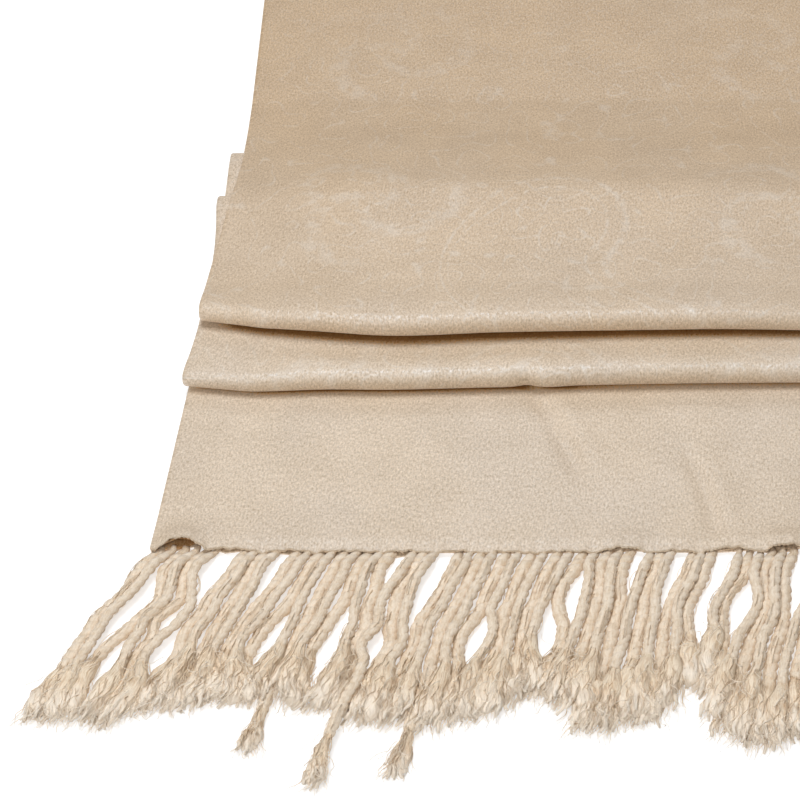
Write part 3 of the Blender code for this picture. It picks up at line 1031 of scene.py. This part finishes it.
def tubes(centres, radii, sides, flatness=1.0, lobes=0.0):
    """Closed tubes round rows of centres: their points, faces, and a UV of (round, along) each."""
    count, steps, _ = centres.shape
    ahead = np.gradient(centres, axis=1)
    ahead /= np.linalg.norm(ahead, axis=2, keepdims=True) + 1e-12
    side = np.cross(ahead, np.array((0.0, 0.0, 1.0)))
    side /= np.linalg.norm(side, axis=2, keepdims=True) + 1e-12
    above = np.cross(side, ahead)
    angle = 2 * math.pi * (np.arange(sides) + 0.5) / sides - math.pi / 2
    ring = (
        side[:, :, None, :] * np.cos(angle)[None, None, :, None]
        + above[:, :, None, :] * (flatness * np.sin(angle))[None, None, :, None]
    )
    turning = 3 * angle[None, :] + 0.9 * np.arange(steps)[:, None]
    swell = 1 + lobes * np.sin(turning)[None, :, :, None]
    verts = centres[:, :, None, :] + ring * swell * radii[:, :, None, None]
    index = np.arange(count * steps * sides).reshape(count, steps, sides)
    ring_on = np.roll(index, -1, axis=2)
    quads = np.stack((index[:, :-1], ring_on[:, :-1], ring_on[:, 1:], index[:, 1:]), axis=-1)
    ends = index[:, 0, ::-1].tolist() + index[:, -1].tolist()
    steps_long = np.linalg.norm(np.diff(centres, axis=1, prepend=centres[:, :1]), axis=2)
    along = np.repeat(np.cumsum(steps_long, axis=1), sides)
    round_share = np.tile(np.arange(sides) / sides, count * steps)
    return verts.reshape(-1, 3), quads.reshape(-1, 4).tolist() + ends, round_share, along


def fringe(name, level, end, corner_x, facing, finishes, seed):
    """One level of a fringe: strands of two twisted yarns that open into crimped tufts."""
    count = PLIES // 2 * STRANDS_PER_PLY
    pitch = FOLDED_WIDTH / (count + 0.5)
    offset = 0.0 if level == "lower" else pitch / 2
    corner_lean = CORNER_REACH - abs(corner_x)
    chance = random.Random(seed)
    forms = []
    for index in range(count):
        root = offset + (index + 0.5) * pitch
        line, reach = strand_path(level, index, root, corner_lean, STRAND_STEP[end], chance)
        tail = (level, index) in TAILS
        share = TAIL_TWISTED if tail else TWISTED_SHARE + chance.uniform(-0.05, 0.05)
        twisted = line[line[:, 1] < reach * share]
        spread = TAIL_SPREAD if tail else 1.0
        tuft = (line, twisted[-1, 1], reach, STRAND_MIDDLE[level], spread)
        forms += [
            (YARN, twist(twisted, LOWER_WIDER if level == "lower" else 1.0, chance)),
            (FIBRE, body(tuft, chance)),
            (FIBRE, locks(tuft, LOCKS[end], chance)),
            (FIBRE, loose_fibres(tuft, FIBRES[end], chance)),
            (FIBRE, curls(tuft, CURLS[end], chance)),
            (FIBRE, stray_hairs(twisted, HAIRS[end], chance)),
        ]
    if level == "upper":
        forms.append((FIBRE, binding()))
    verts, faces, uvs, shown, base = [], [], [], [], 0
    for finish, (points, polygons, round_share, along) in forms:
        verts.append(points)
        faces += [[corner + base for corner in polygon] for polygon in polygons]
        uvs.append(np.stack((round_share, along), axis=-1))
        shown += [finish] * len(polygons)
        base += len(points)
    across, out, up = np.concatenate(verts).T
    world = np.stack((corner_x + facing * across, -facing * out, resting(up)), axis=-1)
    made = new_object(name, world, faces, cloth=np.concatenate(uvs))
    for finish in finishes:
        made.data.materials.append(finish)
    made.data.polygons.foreach_set("material_index", shown)
    return made


def binding():
    """The thread that is sewn over the cut edge of a hem's top ply, and follows its scallops."""
    across = np.arange(0.0006, FOLDED_WIDTH - 0.0016, BINDING_STEP)
    level = 0 * across
    inward, height = hemmed(across, level, level, PACK - PLY / 2 + level, PLY / 2 + level, 1)
    stitch = np.sin(2 * math.pi * across / BINDING_STITCH)
    out = BINDING_OUT - inward + BINDING_WEAVE * stitch
    row = np.stack((across, out, height - BINDING_DOWN), axis=1)
    radius = BINDING_RADIUS * (1 + 0.30 * stitch * np.sin(across * 170) ** 2)
    verts, faces, round_share, along = tubes(row[None], radius[None], BINDING_SIDES)
    return verts, faces, round_share, 0 * along + 0.5


def across_line(line):
    """The level direction square to a line, at each of its points."""
    ahead = np.gradient(line, axis=0)
    ahead /= np.linalg.norm(ahead, axis=1, keepdims=True)
    return np.stack((ahead[:, 1], -ahead[:, 0], 0 * ahead[:, 0]), axis=1)


def twist(line, wider, chance):
    """Two yarns wound round each other along a strand's middle line."""
    out = line[:, 1]
    turn = 2 * math.pi / chance.uniform(*TURN_LENGTH)
    phase = any_turn(chance)
    swell = wider * (0.94 + chance.uniform(0.0, 0.16))
    side = across_line(line)
    above = np.array((0, 0, 0.75))[None, :]
    root = 0.62 + 0.38 * smooth((out + 0.0005) / 0.0045)
    uneven = 1 + 0.05 * np.sin(out * 900 + phase) + 0.04 * np.sin(out * 2300 + 2 * phase)
    rows = []
    for yarn in range(TWISTED_YARNS):
        angle = (turn * out + phase + 2 * math.pi * yarn / TWISTED_YARNS)[:, None]
        offset = side * np.cos(angle) + above * np.sin(angle)
        rows.append(line + HELIX_RADIUS * swell * root[:, None] * offset)
    radii = np.array([YARN_RADIUS * swell * uneven * root] * TWISTED_YARNS)
    return tubes(np.array(rows), radii, YARN_SIDES, YARN_FLATNESS, YARN_LOBES)


def tuft_line(line, out):
    """Where a tuft's middle lies, this far out: it goes on past the strand's end."""
    across = np.interp(out, line[:, 1], line[:, 0])
    beyond = np.maximum(out - line[-1, 1], 0)
    return across + beyond * (line[-1, 0] - line[-6, 0]) / (line[-1, 1] - line[-6, 1])


def body(tuft, chance):
    """The dense middle of a tuft: combed fibre in one lumpy, flattened form with a round end."""
    line, opens, reach, middle, spread = tuft
    share = np.linspace(0, 1, BODY_POINTS)
    start = opens - BODY_BEGINS
    out = start + (opens + (reach - opens) * chance.uniform(*BODY_ENDS) - start) * share
    full = spread * chance.uniform(*BODY_FULL)
    lump = 1 + 0.10 * np.sin(share * chance.uniform(9, 14) + chance.uniform(0, 6))
    radius = (BODY_ROOT + (full - BODY_ROOT) * smooth(share / 0.45)) * lump
    radius = radius * np.sqrt(np.clip(1 - (np.clip(share - 0.80, 0, 1) / 0.202) ** 2, 0.02, 1))
    sway = chance.uniform(-0.0016, 0.0016) * share**2
    height = np.maximum(middle * (1 - 0.45 * share**2), 0.62 * radius + 0.0001)
    row = np.stack((tuft_line(line, out) + sway, out, height), axis=1)
    verts, faces, round_share, _ = tubes(row[None], radius[None], BODY_SIDES, 0.58, 0.07)
    return verts, faces, chance.randrange(LOCK_TINTS) + round_share, np.repeat(share, BODY_SIDES)


def crimped(tuft, lie, out, share, aside, above, chance):
    """The middle line of a crimped lock or fibre, which fans out where its strand opens."""
    line, opens, _, height, _ = tuft
    fan = smooth((out - opens + lie.before) / FAN_REACH)
    crimp = chance.uniform(*lie.crimp)
    wave = 2 * math.pi / chance.uniform(*lie.wave)
    phase = any_turn(chance)
    sway = chance.uniform(-lie.sway, lie.sway) * share**2
    at_root, fanned, flared = lie.aside
    x = tuft_line(line, out) + aside * (at_root + fanned * fan + flared * share**3) + sway
    x = x + crimp * np.sin(wave * out + phase) * fan
    middle = height * (1 - lie.sinks * fan) + lie.rise
    z = middle + above * (lie.above[0] + lie.above[1] * fan)
    return x, z + lie.roll * crimp * np.cos(wave * out + phase) * fan, fan


def locks(tuft, wanted, chance):
    """The thick of a tuft: crimped locks of fibre that fan out and taper."""
    _, opens, reach, _, spread = tuft
    rows, radii, shades = [], [], []
    share = np.linspace(0, 1, LOCK_POINTS)
    start = opens - LOCK_BEGINS
    for lock in range(wanted):
        angle = 2 * math.pi * (lock + chance.uniform(-0.3, 0.3)) / wanted
        far = chance.uniform(0.55, 1.0)
        aside, above = spread * math.cos(angle) * far, spread * math.sin(angle) * far
        ends = opens + (reach - opens) * chance.uniform(*LOCK_ENDS)
        out = start + (ends - start) * share
        x, z, fan = crimped(tuft, LOCK_LIE, out, share, aside, above, chance)
        radius = chance.uniform(*LOCK_RADIUS) * (0.70 + 0.45 * fan)
        radius = radius * (1 - 0.55 * smooth((share - 0.78) / 0.22))
        rows.append(np.stack((x, out, np.maximum(z, 0.85 * radius + 0.0001)), axis=1))
        radii.append(radius)
        shades.append(chance.random())
    verts, faces, round_share, _ = tubes(np.array(rows), np.array(radii), LOCK_SIDES, 0.75, 0.12)
    tint = np.repeat(np.floor(np.array(shades) * LOCK_TINTS), LOCK_POINTS * LOCK_SIDES)
    return verts, faces, tint + 0.3 * round_share, np.tile(np.repeat(share, LOCK_SIDES), wanted)


def hairs(rows, radii, along, chance):
    """Fine tubes round these rows, each with a tint of its own."""
    rows = np.array(rows)
    verts, faces, _, _ = tubes(rows, np.array(radii), FIBRE_SIDES)
    tint = np.repeat([chance.random() for _ in rows], rows.shape[1] * FIBRE_SIDES)
    return verts, faces, tint, 0 * tint + along


def loose_fibres(tuft, wanted, chance):
    """Fine crimped fibres over and round a tuft's locks."""
    _, opens, reach, _, spread = tuft
    rows, radii = [], []
    share = np.linspace(0, 1, FIBRE_POINTS)
    for _ in range(wanted):
        angle, far = any_turn(chance), math.sqrt(chance.random())
        aside, above = spread * math.cos(angle) * far, math.sin(angle) * far
        start = opens + (reach - opens) * chance.uniform(*FIBRE_BEGINS)
        longer = chance.uniform(*FIBRE_ENDS)
        longer += 0.05 if chance.random() < 0.1 else 0
        out = start + (opens + (reach - opens) * longer - start) * share
        x, z, _ = crimped(tuft, FIBRE_LIE, out, share, aside, above, chance)
        rows.append(np.stack((x, out, np.maximum(z - 0.0006 * share**2, LOWEST)), axis=1))
        radii.append(chance.uniform(*FIBRE_RADIUS) * (1 - 0.60 * share**2))
    return hairs(rows, radii, np.tile(np.repeat(share, FIBRE_SIDES), wanted), chance)


def curls(tuft, wanted, chance):
    """Short curly fibres that lie every way on top of a tuft."""
    line, opens, reach, height, spread = tuft
    rows, radii = [], []
    share = np.linspace(0, 1, CURL_POINTS)
    for _ in range(wanted):
        at = opens + (reach - opens) * chance.uniform(-0.05, 0.85)
        aside = spread * chance.uniform(-0.0024, 0.0024)
        way, length = chance.uniform(-0.8, 0.8), chance.uniform(0.0035, 0.0075)
        loop = chance.uniform(0.0003, 0.0007)
        wave = 2 * math.pi * length / chance.uniform(0.0030, 0.0060)
        phase = any_turn(chance)
        ahead = length * share + loop * np.cos(wave * share + phase)
        side = loop * np.sin(wave * share + phase) + 0.0012 * (share - share**2)
        out = at + ahead * math.cos(way) - side * math.sin(way)
        x = tuft_line(line, out) + aside + ahead * math.sin(way) + side * math.cos(way)
        z = height + chance.uniform(0.0012, 0.0021) + 0.0005 * np.sin(math.pi * share)
        rows.append(np.stack((x, out, z), axis=1))
        radii.append(chance.uniform(*HAIR_RADIUS) + 0 * share)
    return hairs(rows, radii, 0.9, chance)


def stray_hairs(line, wanted, chance):
    """Short hairs that stand off a twisted strand."""
    rows, radii = [], []
    share = np.linspace(0, 1, HAIR_POINTS)
    side = across_line(line)

    def at(out, values):
        return np.stack([np.interp(out, line[:, 1], column) for column in values.T], axis=1)

    for _ in range(wanted):
        length = chance.uniform(0.004, 0.009)
        out = chance.uniform(0.003, line[-1, 1] - length) + length * share
        angle = chance.uniform(-0.3, math.pi + 0.3)
        bow = 0.0012 + chance.uniform(0.0002, 0.0011) * np.sin(math.pi * share) ** 0.7
        offset = at(out, side) * math.cos(angle) * bow[:, None]
        offset[:, 2] += math.sin(angle) * bow
        row = at(out, line) + offset
        row[:, 2] = np.maximum(row[:, 2], LOWEST)
        rows.append(row)
        radii.append(chance.uniform(*HAIR_RADIUS) + 0 * share)
    return hairs(rows, radii, 0.3, chance)


class Finish:
    """A material whose nodes are added with few words."""

    def __init__(self, name):
        self.material = bpy.data.materials.new(name)
        self.material.use_nodes = True
        self.tree = self.material.node_tree
        self.surface = self.tree.nodes["Principled BSDF"]

    def add(self, kind, inputs, output=0, **settings):
        node = self.tree.nodes.new("ShaderNode" + kind)
        for key, value in settings.items():
            setattr(node, key, value)
        for key, value in inputs.items():
            self.feed(node.inputs[key], value)
        return node.outputs[output]

    def feed(self, socket, value):
        if isinstance(value, bpy.types.NodeSocket):
            self.tree.links.new(value, socket)
        else:
            socket.default_value = value

    def math(self, operation, *values):
        return self.add("Math", dict(enumerate(values)), operation=operation)

    def plus(self, first, second):
        return self.math("ADD", first, second)

    def less(self, first, second):
        return self.math("SUBTRACT", first, second)

    def times(self, first, second):
        return self.math("MULTIPLY", first, second)

    def most(self, first, second):
        return self.math("MAXIMUM", first, second)

    def raised(self, value, gain, start):
        """The value times a gain, from a start."""
        return self.math("MULTIPLY_ADD", value, gain, start)

    def uv(self, layer):
        return self.add("UVMap", {}, uv_map=layer)

    def spot(self):
        return self.add("NewGeometry", {}, "Position")

    def part(self, places, axis):
        return self.add("SeparateXYZ", {0: places}, axis)

    def scaled(self, places, size, turn=0.0, start=(0, 0, 0)):
        inputs = {"Vector": places, "Location": start, "Rotation": (0, 0, turn), "Scale": size}
        return self.add("Mapping", inputs)

    def tiled(self, places, tile, start, turn):
        """Places in one tile of a pattern that repeats, measured from its middle."""
        inputs = {0: self.scaled(places, tile, 0, start), 1: (0.5, 0.5, 0.5), 2: (-0.5, -0.5, -0.5)}
        local = self.add("VectorMath", inputs, operation="WRAP")
        return self.scaled(local, (1 / tile[0], 1 / tile[1], 0), turn)

    def polar(self, places):
        """A tile's places as distance from its middle and direction."""
        parts = self.add("SeparateXYZ", {0: places}).node.outputs
        distance = self.add("VectorMath", {0: places}, "Value", operation="LENGTH")
        return distance, self.math("ARCTAN2", parts[1], parts[0])

    def noise(self, places, scale, detail=2.0, roughness=0.5):
        inputs = {"Vector": places, "Scale": scale, "Detail": detail, "Roughness": roughness}
        return self.add("TexNoise", inputs, "Fac")

    def band(self, value, low, high, to_low=0.0, to_high=1.0):
        inputs = dict(zip(range(5), (value, low, high, to_low, to_high)))
        return self.add("MapRange", inputs, interpolation_type="SMOOTHSTEP")

    def line(self, value, width):
        """1 on the line where the value is 0, fading out over its width."""
        return self.band(self.math("ABSOLUTE", value), 0.0, width, 1.0, 0.0)

    def mix(self, share, first, second, blend="MIX"):
        inputs = {"Factor": share, 6: first, 7: second}
        return self.add("Mix", inputs, 2, data_type="RGBA", blend_type=blend)

    def bump(self, height, distance, strength, normal=None):
        inputs = {"Height": height, "Distance": distance, "Strength": strength}
        if normal:
            inputs["Normal"] = normal
        return self.add("Bump", inputs)

    def set(self, **values):
        for key, value in values.items():
            self.feed(self.surface.inputs[key.replace("_", " ")], value)
        return self.material


def paisley(made, places, turn):
    """A bulb with a curled tip, drawn in two lines, with a small flower in it."""
    distance, way = made.polar(made.tiled(places, PAISLEY_TILE, PAISLEY_START, turn))
    pointing = made.raised(made.math("COSINE", made.raised(distance, 26.0, way)), 0.5, 0.5)
    edge = made.raised(made.math("POWER", pointing, 7.0), 0.044, 0.021)
    inside = made.less(distance, edge)
    outer = made.line(inside, 0.0016)
    inner = made.line(made.plus(inside, 0.0052), 0.0009)
    petals = made.raised(made.math("COSINE", made.times(way, 6.0)), 0.0028, 0.0088)
    flower = made.line(made.less(distance, petals), 0.0011)
    return made.most(made.most(outer, inner), flower)


def sprig(made, places, turn):
    """A spray of curled leaves round a bud."""
    distance, way = made.polar(made.tiled(places, SPRIG_TILE, SPRIG_START, turn))
    curled = made.times(made.raised(distance, 95.0, way), 1.5)
    leaf = made.band(made.math("ABSOLUTE", made.math("COSINE", curled)), 0.80, 0.97)
    bud = made.line(made.less(distance, 0.0045), 0.0012)
    return made.most(made.times(leaf, made.band(distance, 0.024, 0.030, 1.0, 0.0)), bud)


def pattern(made, places, along):
    """The figured ground: paisleys, sprigs and scrolls, worn, and fainter towards the ends."""
    figure = made.most(paisley(made, places, 0.5), made.times(sprig(made, places, 0.9), 0.75))
    worn = made.band(made.noise(places, WEAR_WAVES, 3.0, 0.7), 0.38, 0.60)
    scrolls = made.noise(made.scaled(places, (1, 0.8, 1)), SCROLL_WAVES, 1.0, 0.4)
    scrolls = made.less(made.math("FRACT", made.times(scrolls, 7.0)), 0.5)
    figure = made.most(figure, made.times(made.line(scrolls, 0.11), 0.85))
    ground = made.times(made.band(along, 0.10, 0.16), made.band(along, 0.50, 0.60, 1.0, 0.30))
    return made.times(figure, made.times(worn, ground))


def cloth_finish(name):
    """Satin-faced cloth: slubby threads, a faint pattern, a painted sheen that makes both ends paler and bluer, and
    painted shade that browns its crevices.
    """
    made = Finish(name)
    places = made.uv("cloth")
    along = made.part(places, 1)
    figure = pattern(made, places, along)
    mottle = made.noise(made.scaled(places, (1, 1, 1)), MOTTLE_WAVES, 3.0, 0.6)
    patches = made.noise(made.scaled(places, (1, 0.7, 1)), PATCH_WAVES, 2.0, 0.5)
    grain = made.noise(made.scaled(places, (1.0, 0.75, 1)), GRAIN_WAVES, 2.0, 0.7)
    floats = made.noise(made.scaled(places, (1.0, 0.42, 1)), FLOAT_WAVES, 2.0, 0.7)
    threads = made.raised(grain, 0.5, made.times(floats, 0.5))
    shade = made.raised(threads, 3.0, made.band(mottle, 0.3, 0.7, -1.06, -0.94))
    # Painted sheen: the cloth is painted paler and bluer towards both hems
    near_sheen, far_sheen = made.band(along, 0.32, 0.56, 1.0, 0.0), made.band(along, 1.46, 1.62)
    deep = made.mix(shade, DARK_CLOTH, LIGHT_CLOTH)
    pale_dark, pale_light = (
        tuple(part * more for part, more in zip(tone, PAINTED_SHEEN)) for tone in (DARK_CLOTH, LIGHT_CLOTH)
    )
    pale = made.mix(shade, pale_dark, pale_light)
    colour = made.mix(made.most(near_sheen, far_sheen), deep, pale)
    cooler = made.mix(1.0, colour, COOLER, "MULTIPLY")
    colour = made.mix(made.band(patches, 0.38, 0.62), colour, cooler)
    colour = made.mix(made.times(figure, FIGURE_SHARE), colour, FIGURE_TONE)
    # Painted shade in crevices and the hem: a grainy edge tinted warm, brown at its deepest, where the specular tint
    # goes dark too
    hollow = made.part(made.uv("hollow"), 0)
    edge = made.times(hollow, made.less(1.0, hollow))
    hollow = made.band(made.raised(edge, made.raised(threads, 10.0, -5.0), hollow), 0.0, 1.0)
    tint = made.mix(made.band(hollow, 0.0, 0.5), WHITE, WARM_SHADE)
    tint = made.mix(made.band(hollow, 0.45, 1.0), tint, PAINTED_SHADE_BROWN)
    flecks = made.noise(made.scaled(places, (0.9, 0.60, 1)), FLOAT_WAVES, 1.0, 0.5)
    gloss = made.band(threads, 0.36, 0.64, 0.77, 0.65)
    gloss = made.raised(made.band(flecks, 0.48, 0.66), -0.24, gloss)
    weave = made.bump(grain, GRAIN_RELIEF, 0.8)
    weave = made.bump(floats, FLOAT_RELIEF, 0.9, weave)
    weave = made.bump(figure, FIGURE_RELIEF, 0.5, weave)
    return made.set(
        Base_Color=made.mix(1.0, colour, tint, "MULTIPLY"),
        Roughness=made.most(made.raised(figure, -0.10, gloss), 0.48),
        Normal=weave,
        Sheen_Weight=0.06,
        Sheen_Roughness=0.40,
        Sheen_Tint=(1.0, 0.97, 0.93, 1),
        IOR=1.97,
        Specular_IOR_Level=1.0,
        Specular_Tint=made.mix(hollow, GLINT, PAINTED_SHADE_GLINT),
    )


def streaks(made, places, around, along, slant, waves=0.0):
    """Fine lines that run along a tube, slanted and wavy, from its UV of (round, along)."""
    parts = made.add("SeparateXYZ", {0: places}).node.outputs
    turned = made.raised(parts[1], slant, made.times(parts[0], around))
    if waves:
        turned = made.raised(made.noise(made.spot(), 240.0, 1.0), waves, turned)
    laid = made.add("CombineXYZ", {0: turned, 1: made.times(parts[1], along)})
    return made.noise(laid, 1.0, 2.0, 0.6)


def yarn_finish():
    """Spun yarn: fibres that run along it with a slight slant, and painted shade that makes it browner low down."""
    made = Finish("Spun yarn")
    spot = made.spot()
    spun = streaks(made, made.uv("cloth"), 13.0, 320.0, 900.0)
    mottle = made.band(made.noise(spot, 350.0, 2.0), 0.3, 0.7, -0.15, 0.15)
    fuzz = made.noise(spot, 1800.0, 3.0, 0.7)
    shade = made.plus(made.band(spun, 0.3, 0.7, 0.22, 0.80), mottle)
    shade = made.plus(shade, made.raised(fuzz, 1.2, -0.60))
    # Painted shade: darker and browner low down, where the strands shade each other
    shade = made.plus(shade, made.band(made.part(spot, 2), 0.0004, 0.0026, -0.45, 0.16))
    return made.set(
        Base_Color=made.mix(shade, DARK_YARN, LIGHT_YARN),
        Roughness=0.72,
        Normal=made.bump(fuzz, 0.00012, 0.9, made.bump(spun, 0.00014, 0.9)),
        Specular_IOR_Level=0.35,
        Sheen_Weight=0.20,
        Sheen_Roughness=0.5,
        Sheen_Tint=(0.95, 0.97, 1.0, 1),
    )


def fibre_finish():
    """Loose, combed fibre, with painted shade low down, painted paler towards its tips where light shines through
    them.
    """
    made = Finish("Loose fibre")
    places, spot = made.uv("cloth"), made.spot()
    combed = streaks(made, places, 52.0, 5.0, 4.0, 6.0)
    mottle = made.band(made.noise(spot, 260.0, 2.0), 0.3, 0.7, -0.2, 0.2)
    shade = made.plus(made.band(combed, 0.36, 0.64, 0.18, 0.92), mottle)
    shade = made.plus(shade, made.raised(made.noise(spot, 2100.0, 3.0, 0.7), 1.1, -0.55))
    # Painted shade: darker low down, where the locks shade each other
    shade = made.plus(shade, made.band(made.part(spot, 2), 0.0003, 0.0028, -0.35, 0.10))
    colour = made.mix(shade, DARK_FIBRE, LIGHT_FIBRE)
    # Painted light: paler towards the tips, where light shines through the thin fibres
    tip = made.band(made.part(places, 1), 0.45, 0.95, 0.0, 0.8)
    return made.set(
        Base_Color=made.mix(tip, colour, FIBRE_TIP_GLOW),
        Roughness=0.75,
        Normal=made.bump(combed, 0.00030, 0.9),
        Specular_IOR_Level=0.20,
        Sheen_Weight=0.12,
        Sheen_Roughness=0.5,
        Sheen_Tint=(1.0, 0.94, 0.86, 1),
    )


def floor_finish():
    made = Finish("Pale floor")
    return made.set(
        Base_Color=made.mix(made.noise(made.spot(), 900.0, 2.0), DARK_FLOOR, LIGHT_FLOOR),
        Roughness=0.9,
        Specular_IOR_Level=0.1,
        Emission_Color=WHITE,
        Emission_Strength=FLOOR_GLOW,
    )


def area_light(name, place, target, size, power, colour):
    light = bpy.data.lights.new(name, "AREA")
    light.shape = "RECTANGLE"
    light.size, light.size_y = size
    light.energy = power
    light.color = colour
    made = linked(bpy.data.objects.new(name, light))
    place, target = (Vector((X0 + x, Y0 + y, z)) for x, y, z in (place, target))
    made.location = place
    made.rotation_mode = "QUATERNION"
    made.rotation_quaternion = (target - place).to_track_quat("-Z", "Y")


def make_camera():
    forward = Vector((0, math.cos(CAMERA_ELEVATION), -math.sin(CAMERA_ELEVATION)))
    up = Vector((0, math.sin(CAMERA_ELEVATION), math.cos(CAMERA_ELEVATION)))
    right = Vector((1, 0, 0))
    ahead = forward * math.cos(CAMERA_YAW) - right * math.sin(CAMERA_YAW)
    aside = right * math.cos(CAMERA_YAW) + forward * math.sin(CAMERA_YAW)
    data = bpy.data.cameras.new("Camera")
    data.sensor_width = SENSOR
    data.lens = LENS_PIXELS / FRAME_PIXELS * SENSOR
    data.clip_start, data.clip_end = 0.01, 20
    made = linked(bpy.data.objects.new("Camera", data))
    place = Matrix((aside, up, -ahead)).transposed().to_4x4()
    place.translation = Vector((X0, Y0 - CAMERA_BACK, CAMERA_HEIGHT))
    made.matrix_world = place
    bpy.context.scene.camera = made


def make_stage():
    corners = ((-1, -1), (1, -1), (1, 1), (-1, 1))
    corners = np.array([(x * FLOOR_REACH, y * FLOOR_REACH, -FLOOR_DOWN) for x, y in corners])
    floor = new_object("Floor", corners, [(0, 1, 2, 3)])
    floor.data.materials.append(floor_finish())
    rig.stage(floor)
    world = bpy.data.worlds.new("Studio")
    world.use_nodes = True
    background = world.node_tree.nodes["Background"]
    background.inputs["Color"].default_value = WORLD_COLOUR
    background.inputs["Strength"].default_value = WORLD_STRENGTH
    bpy.context.scene.world = world
    for light in LIGHTS:
        area_light(*light)
    bpy.context.scene.view_settings.view_transform = "Standard"


def dressed(piece, node, slot):
    """The piece, riding on the stole's one body in place of a solid."""
    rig.ride(piece, "root")
    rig.replaces(piece, node)
    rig.slot(piece, slot)
    return piece


hem_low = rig.box("hem_panel")[0]
X0 = hem_low[0] - HEM_LEFT
Y0 = hem_low[1]

make_camera()
make_stage()

cloth = cloth_finish("Satin-faced cloth")
inner = cloth_finish("Satin-faced cloth, inner layers")
yarn = yarn_finish()
fibre = fibre_finish()

STRETCHES = (
    # name, node, slot, finish, start, end, what it rests on, and the rest of what laid_cloth takes
    ("cloth_hem_panel", "hem_panel", "stole_cloth", cloth, 0.0, LAP_END, "Floor",
     (hem_panel_path, hem_left, 230, 30, False, near_hem, panel_relief, under_second)),
    ("cloth_second_fold", "second_fold", "stole_cloth", cloth, SECOND_STARTS, UPPER_STARTS,
     "cloth_hem_panel",
     (second_fold_path, second_left, 150, 24, False, None, None, under_first)),
    ("cloth_long_run", "long_run", "stole_cloth", cloth, LONG_STARTS, BODY_LENGTH,
     "cloth_upper_layers",
     (long_run_path, long_left, 104, 12, False, far_hem, long_relief, None)),
    ("cloth_lower_layers", "folded_layers", "inner_layers", inner, LAP_END, SECOND_STARTS,
     "Floor", (lower_path, lower_left, 40, 24, True, None, None, None)),
    ("cloth_upper_layers", "folded_layers", "inner_layers", inner, UPPER_STARTS, LONG_STARTS,
     "cloth_lower_layers", (upper_path, upper_left, 40, 24, True, None, None, None)),
)
sheets = []
for name, node, slot, finish, start, end, rests_on, form in STRETCHES:
    piece = laid_cloth(name, start, *form)
    piece.data.materials.append(finish)
    sheets.append((dressed(piece, node, slot), end - start, rests_on))

HEMS = {
    # end: place across, place along, which way its fringe faces
    "near": (HEM_LEFT, Y0, 1),
    "far": (LONG_LEFT + FOLDED_WIDTH, Y0 + FAR_HEM, -1),
}
FRINGES = (
    # end, level, seed
    ("near", "lower", 11),
    ("near", "upper", 12),
    ("far", "lower", 13),
    ("far", "upper", 14),
)
hanging = {"near": [], "far": []}
for end, level, seed in FRINGES:
    corner_x, hem_y, facing = HEMS[end]
    name = end + "_strands_" + level
    piece = fringe(name, level, end, corner_x, facing, (yarn, fibre), seed)
    piece.data.transform(Matrix.Translation((X0, hem_y, 0)))
    hanging[end].append(dressed(piece, end + "_fringe_" + level, "fringe_yarn"))

WITH_PIECES = {"cloth_hem_panel": hanging["near"], "cloth_long_run": hanging["far"]}
for piece, length, rests_on in sheets:
    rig.sheet(
        piece,
        flat=(STOLE_WIDTH, length),
        held="folded",
        rests_on=[rests_on],
        with_pieces=WITH_PIECES.get(piece.name, []),
    )

visual_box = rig.bounds()
with open("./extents.json", "w") as size_file:
    json.dump({"cad": [list(c) for c in CAD_BOX], "visual": [list(c) for c in visual_box]}, size_file)
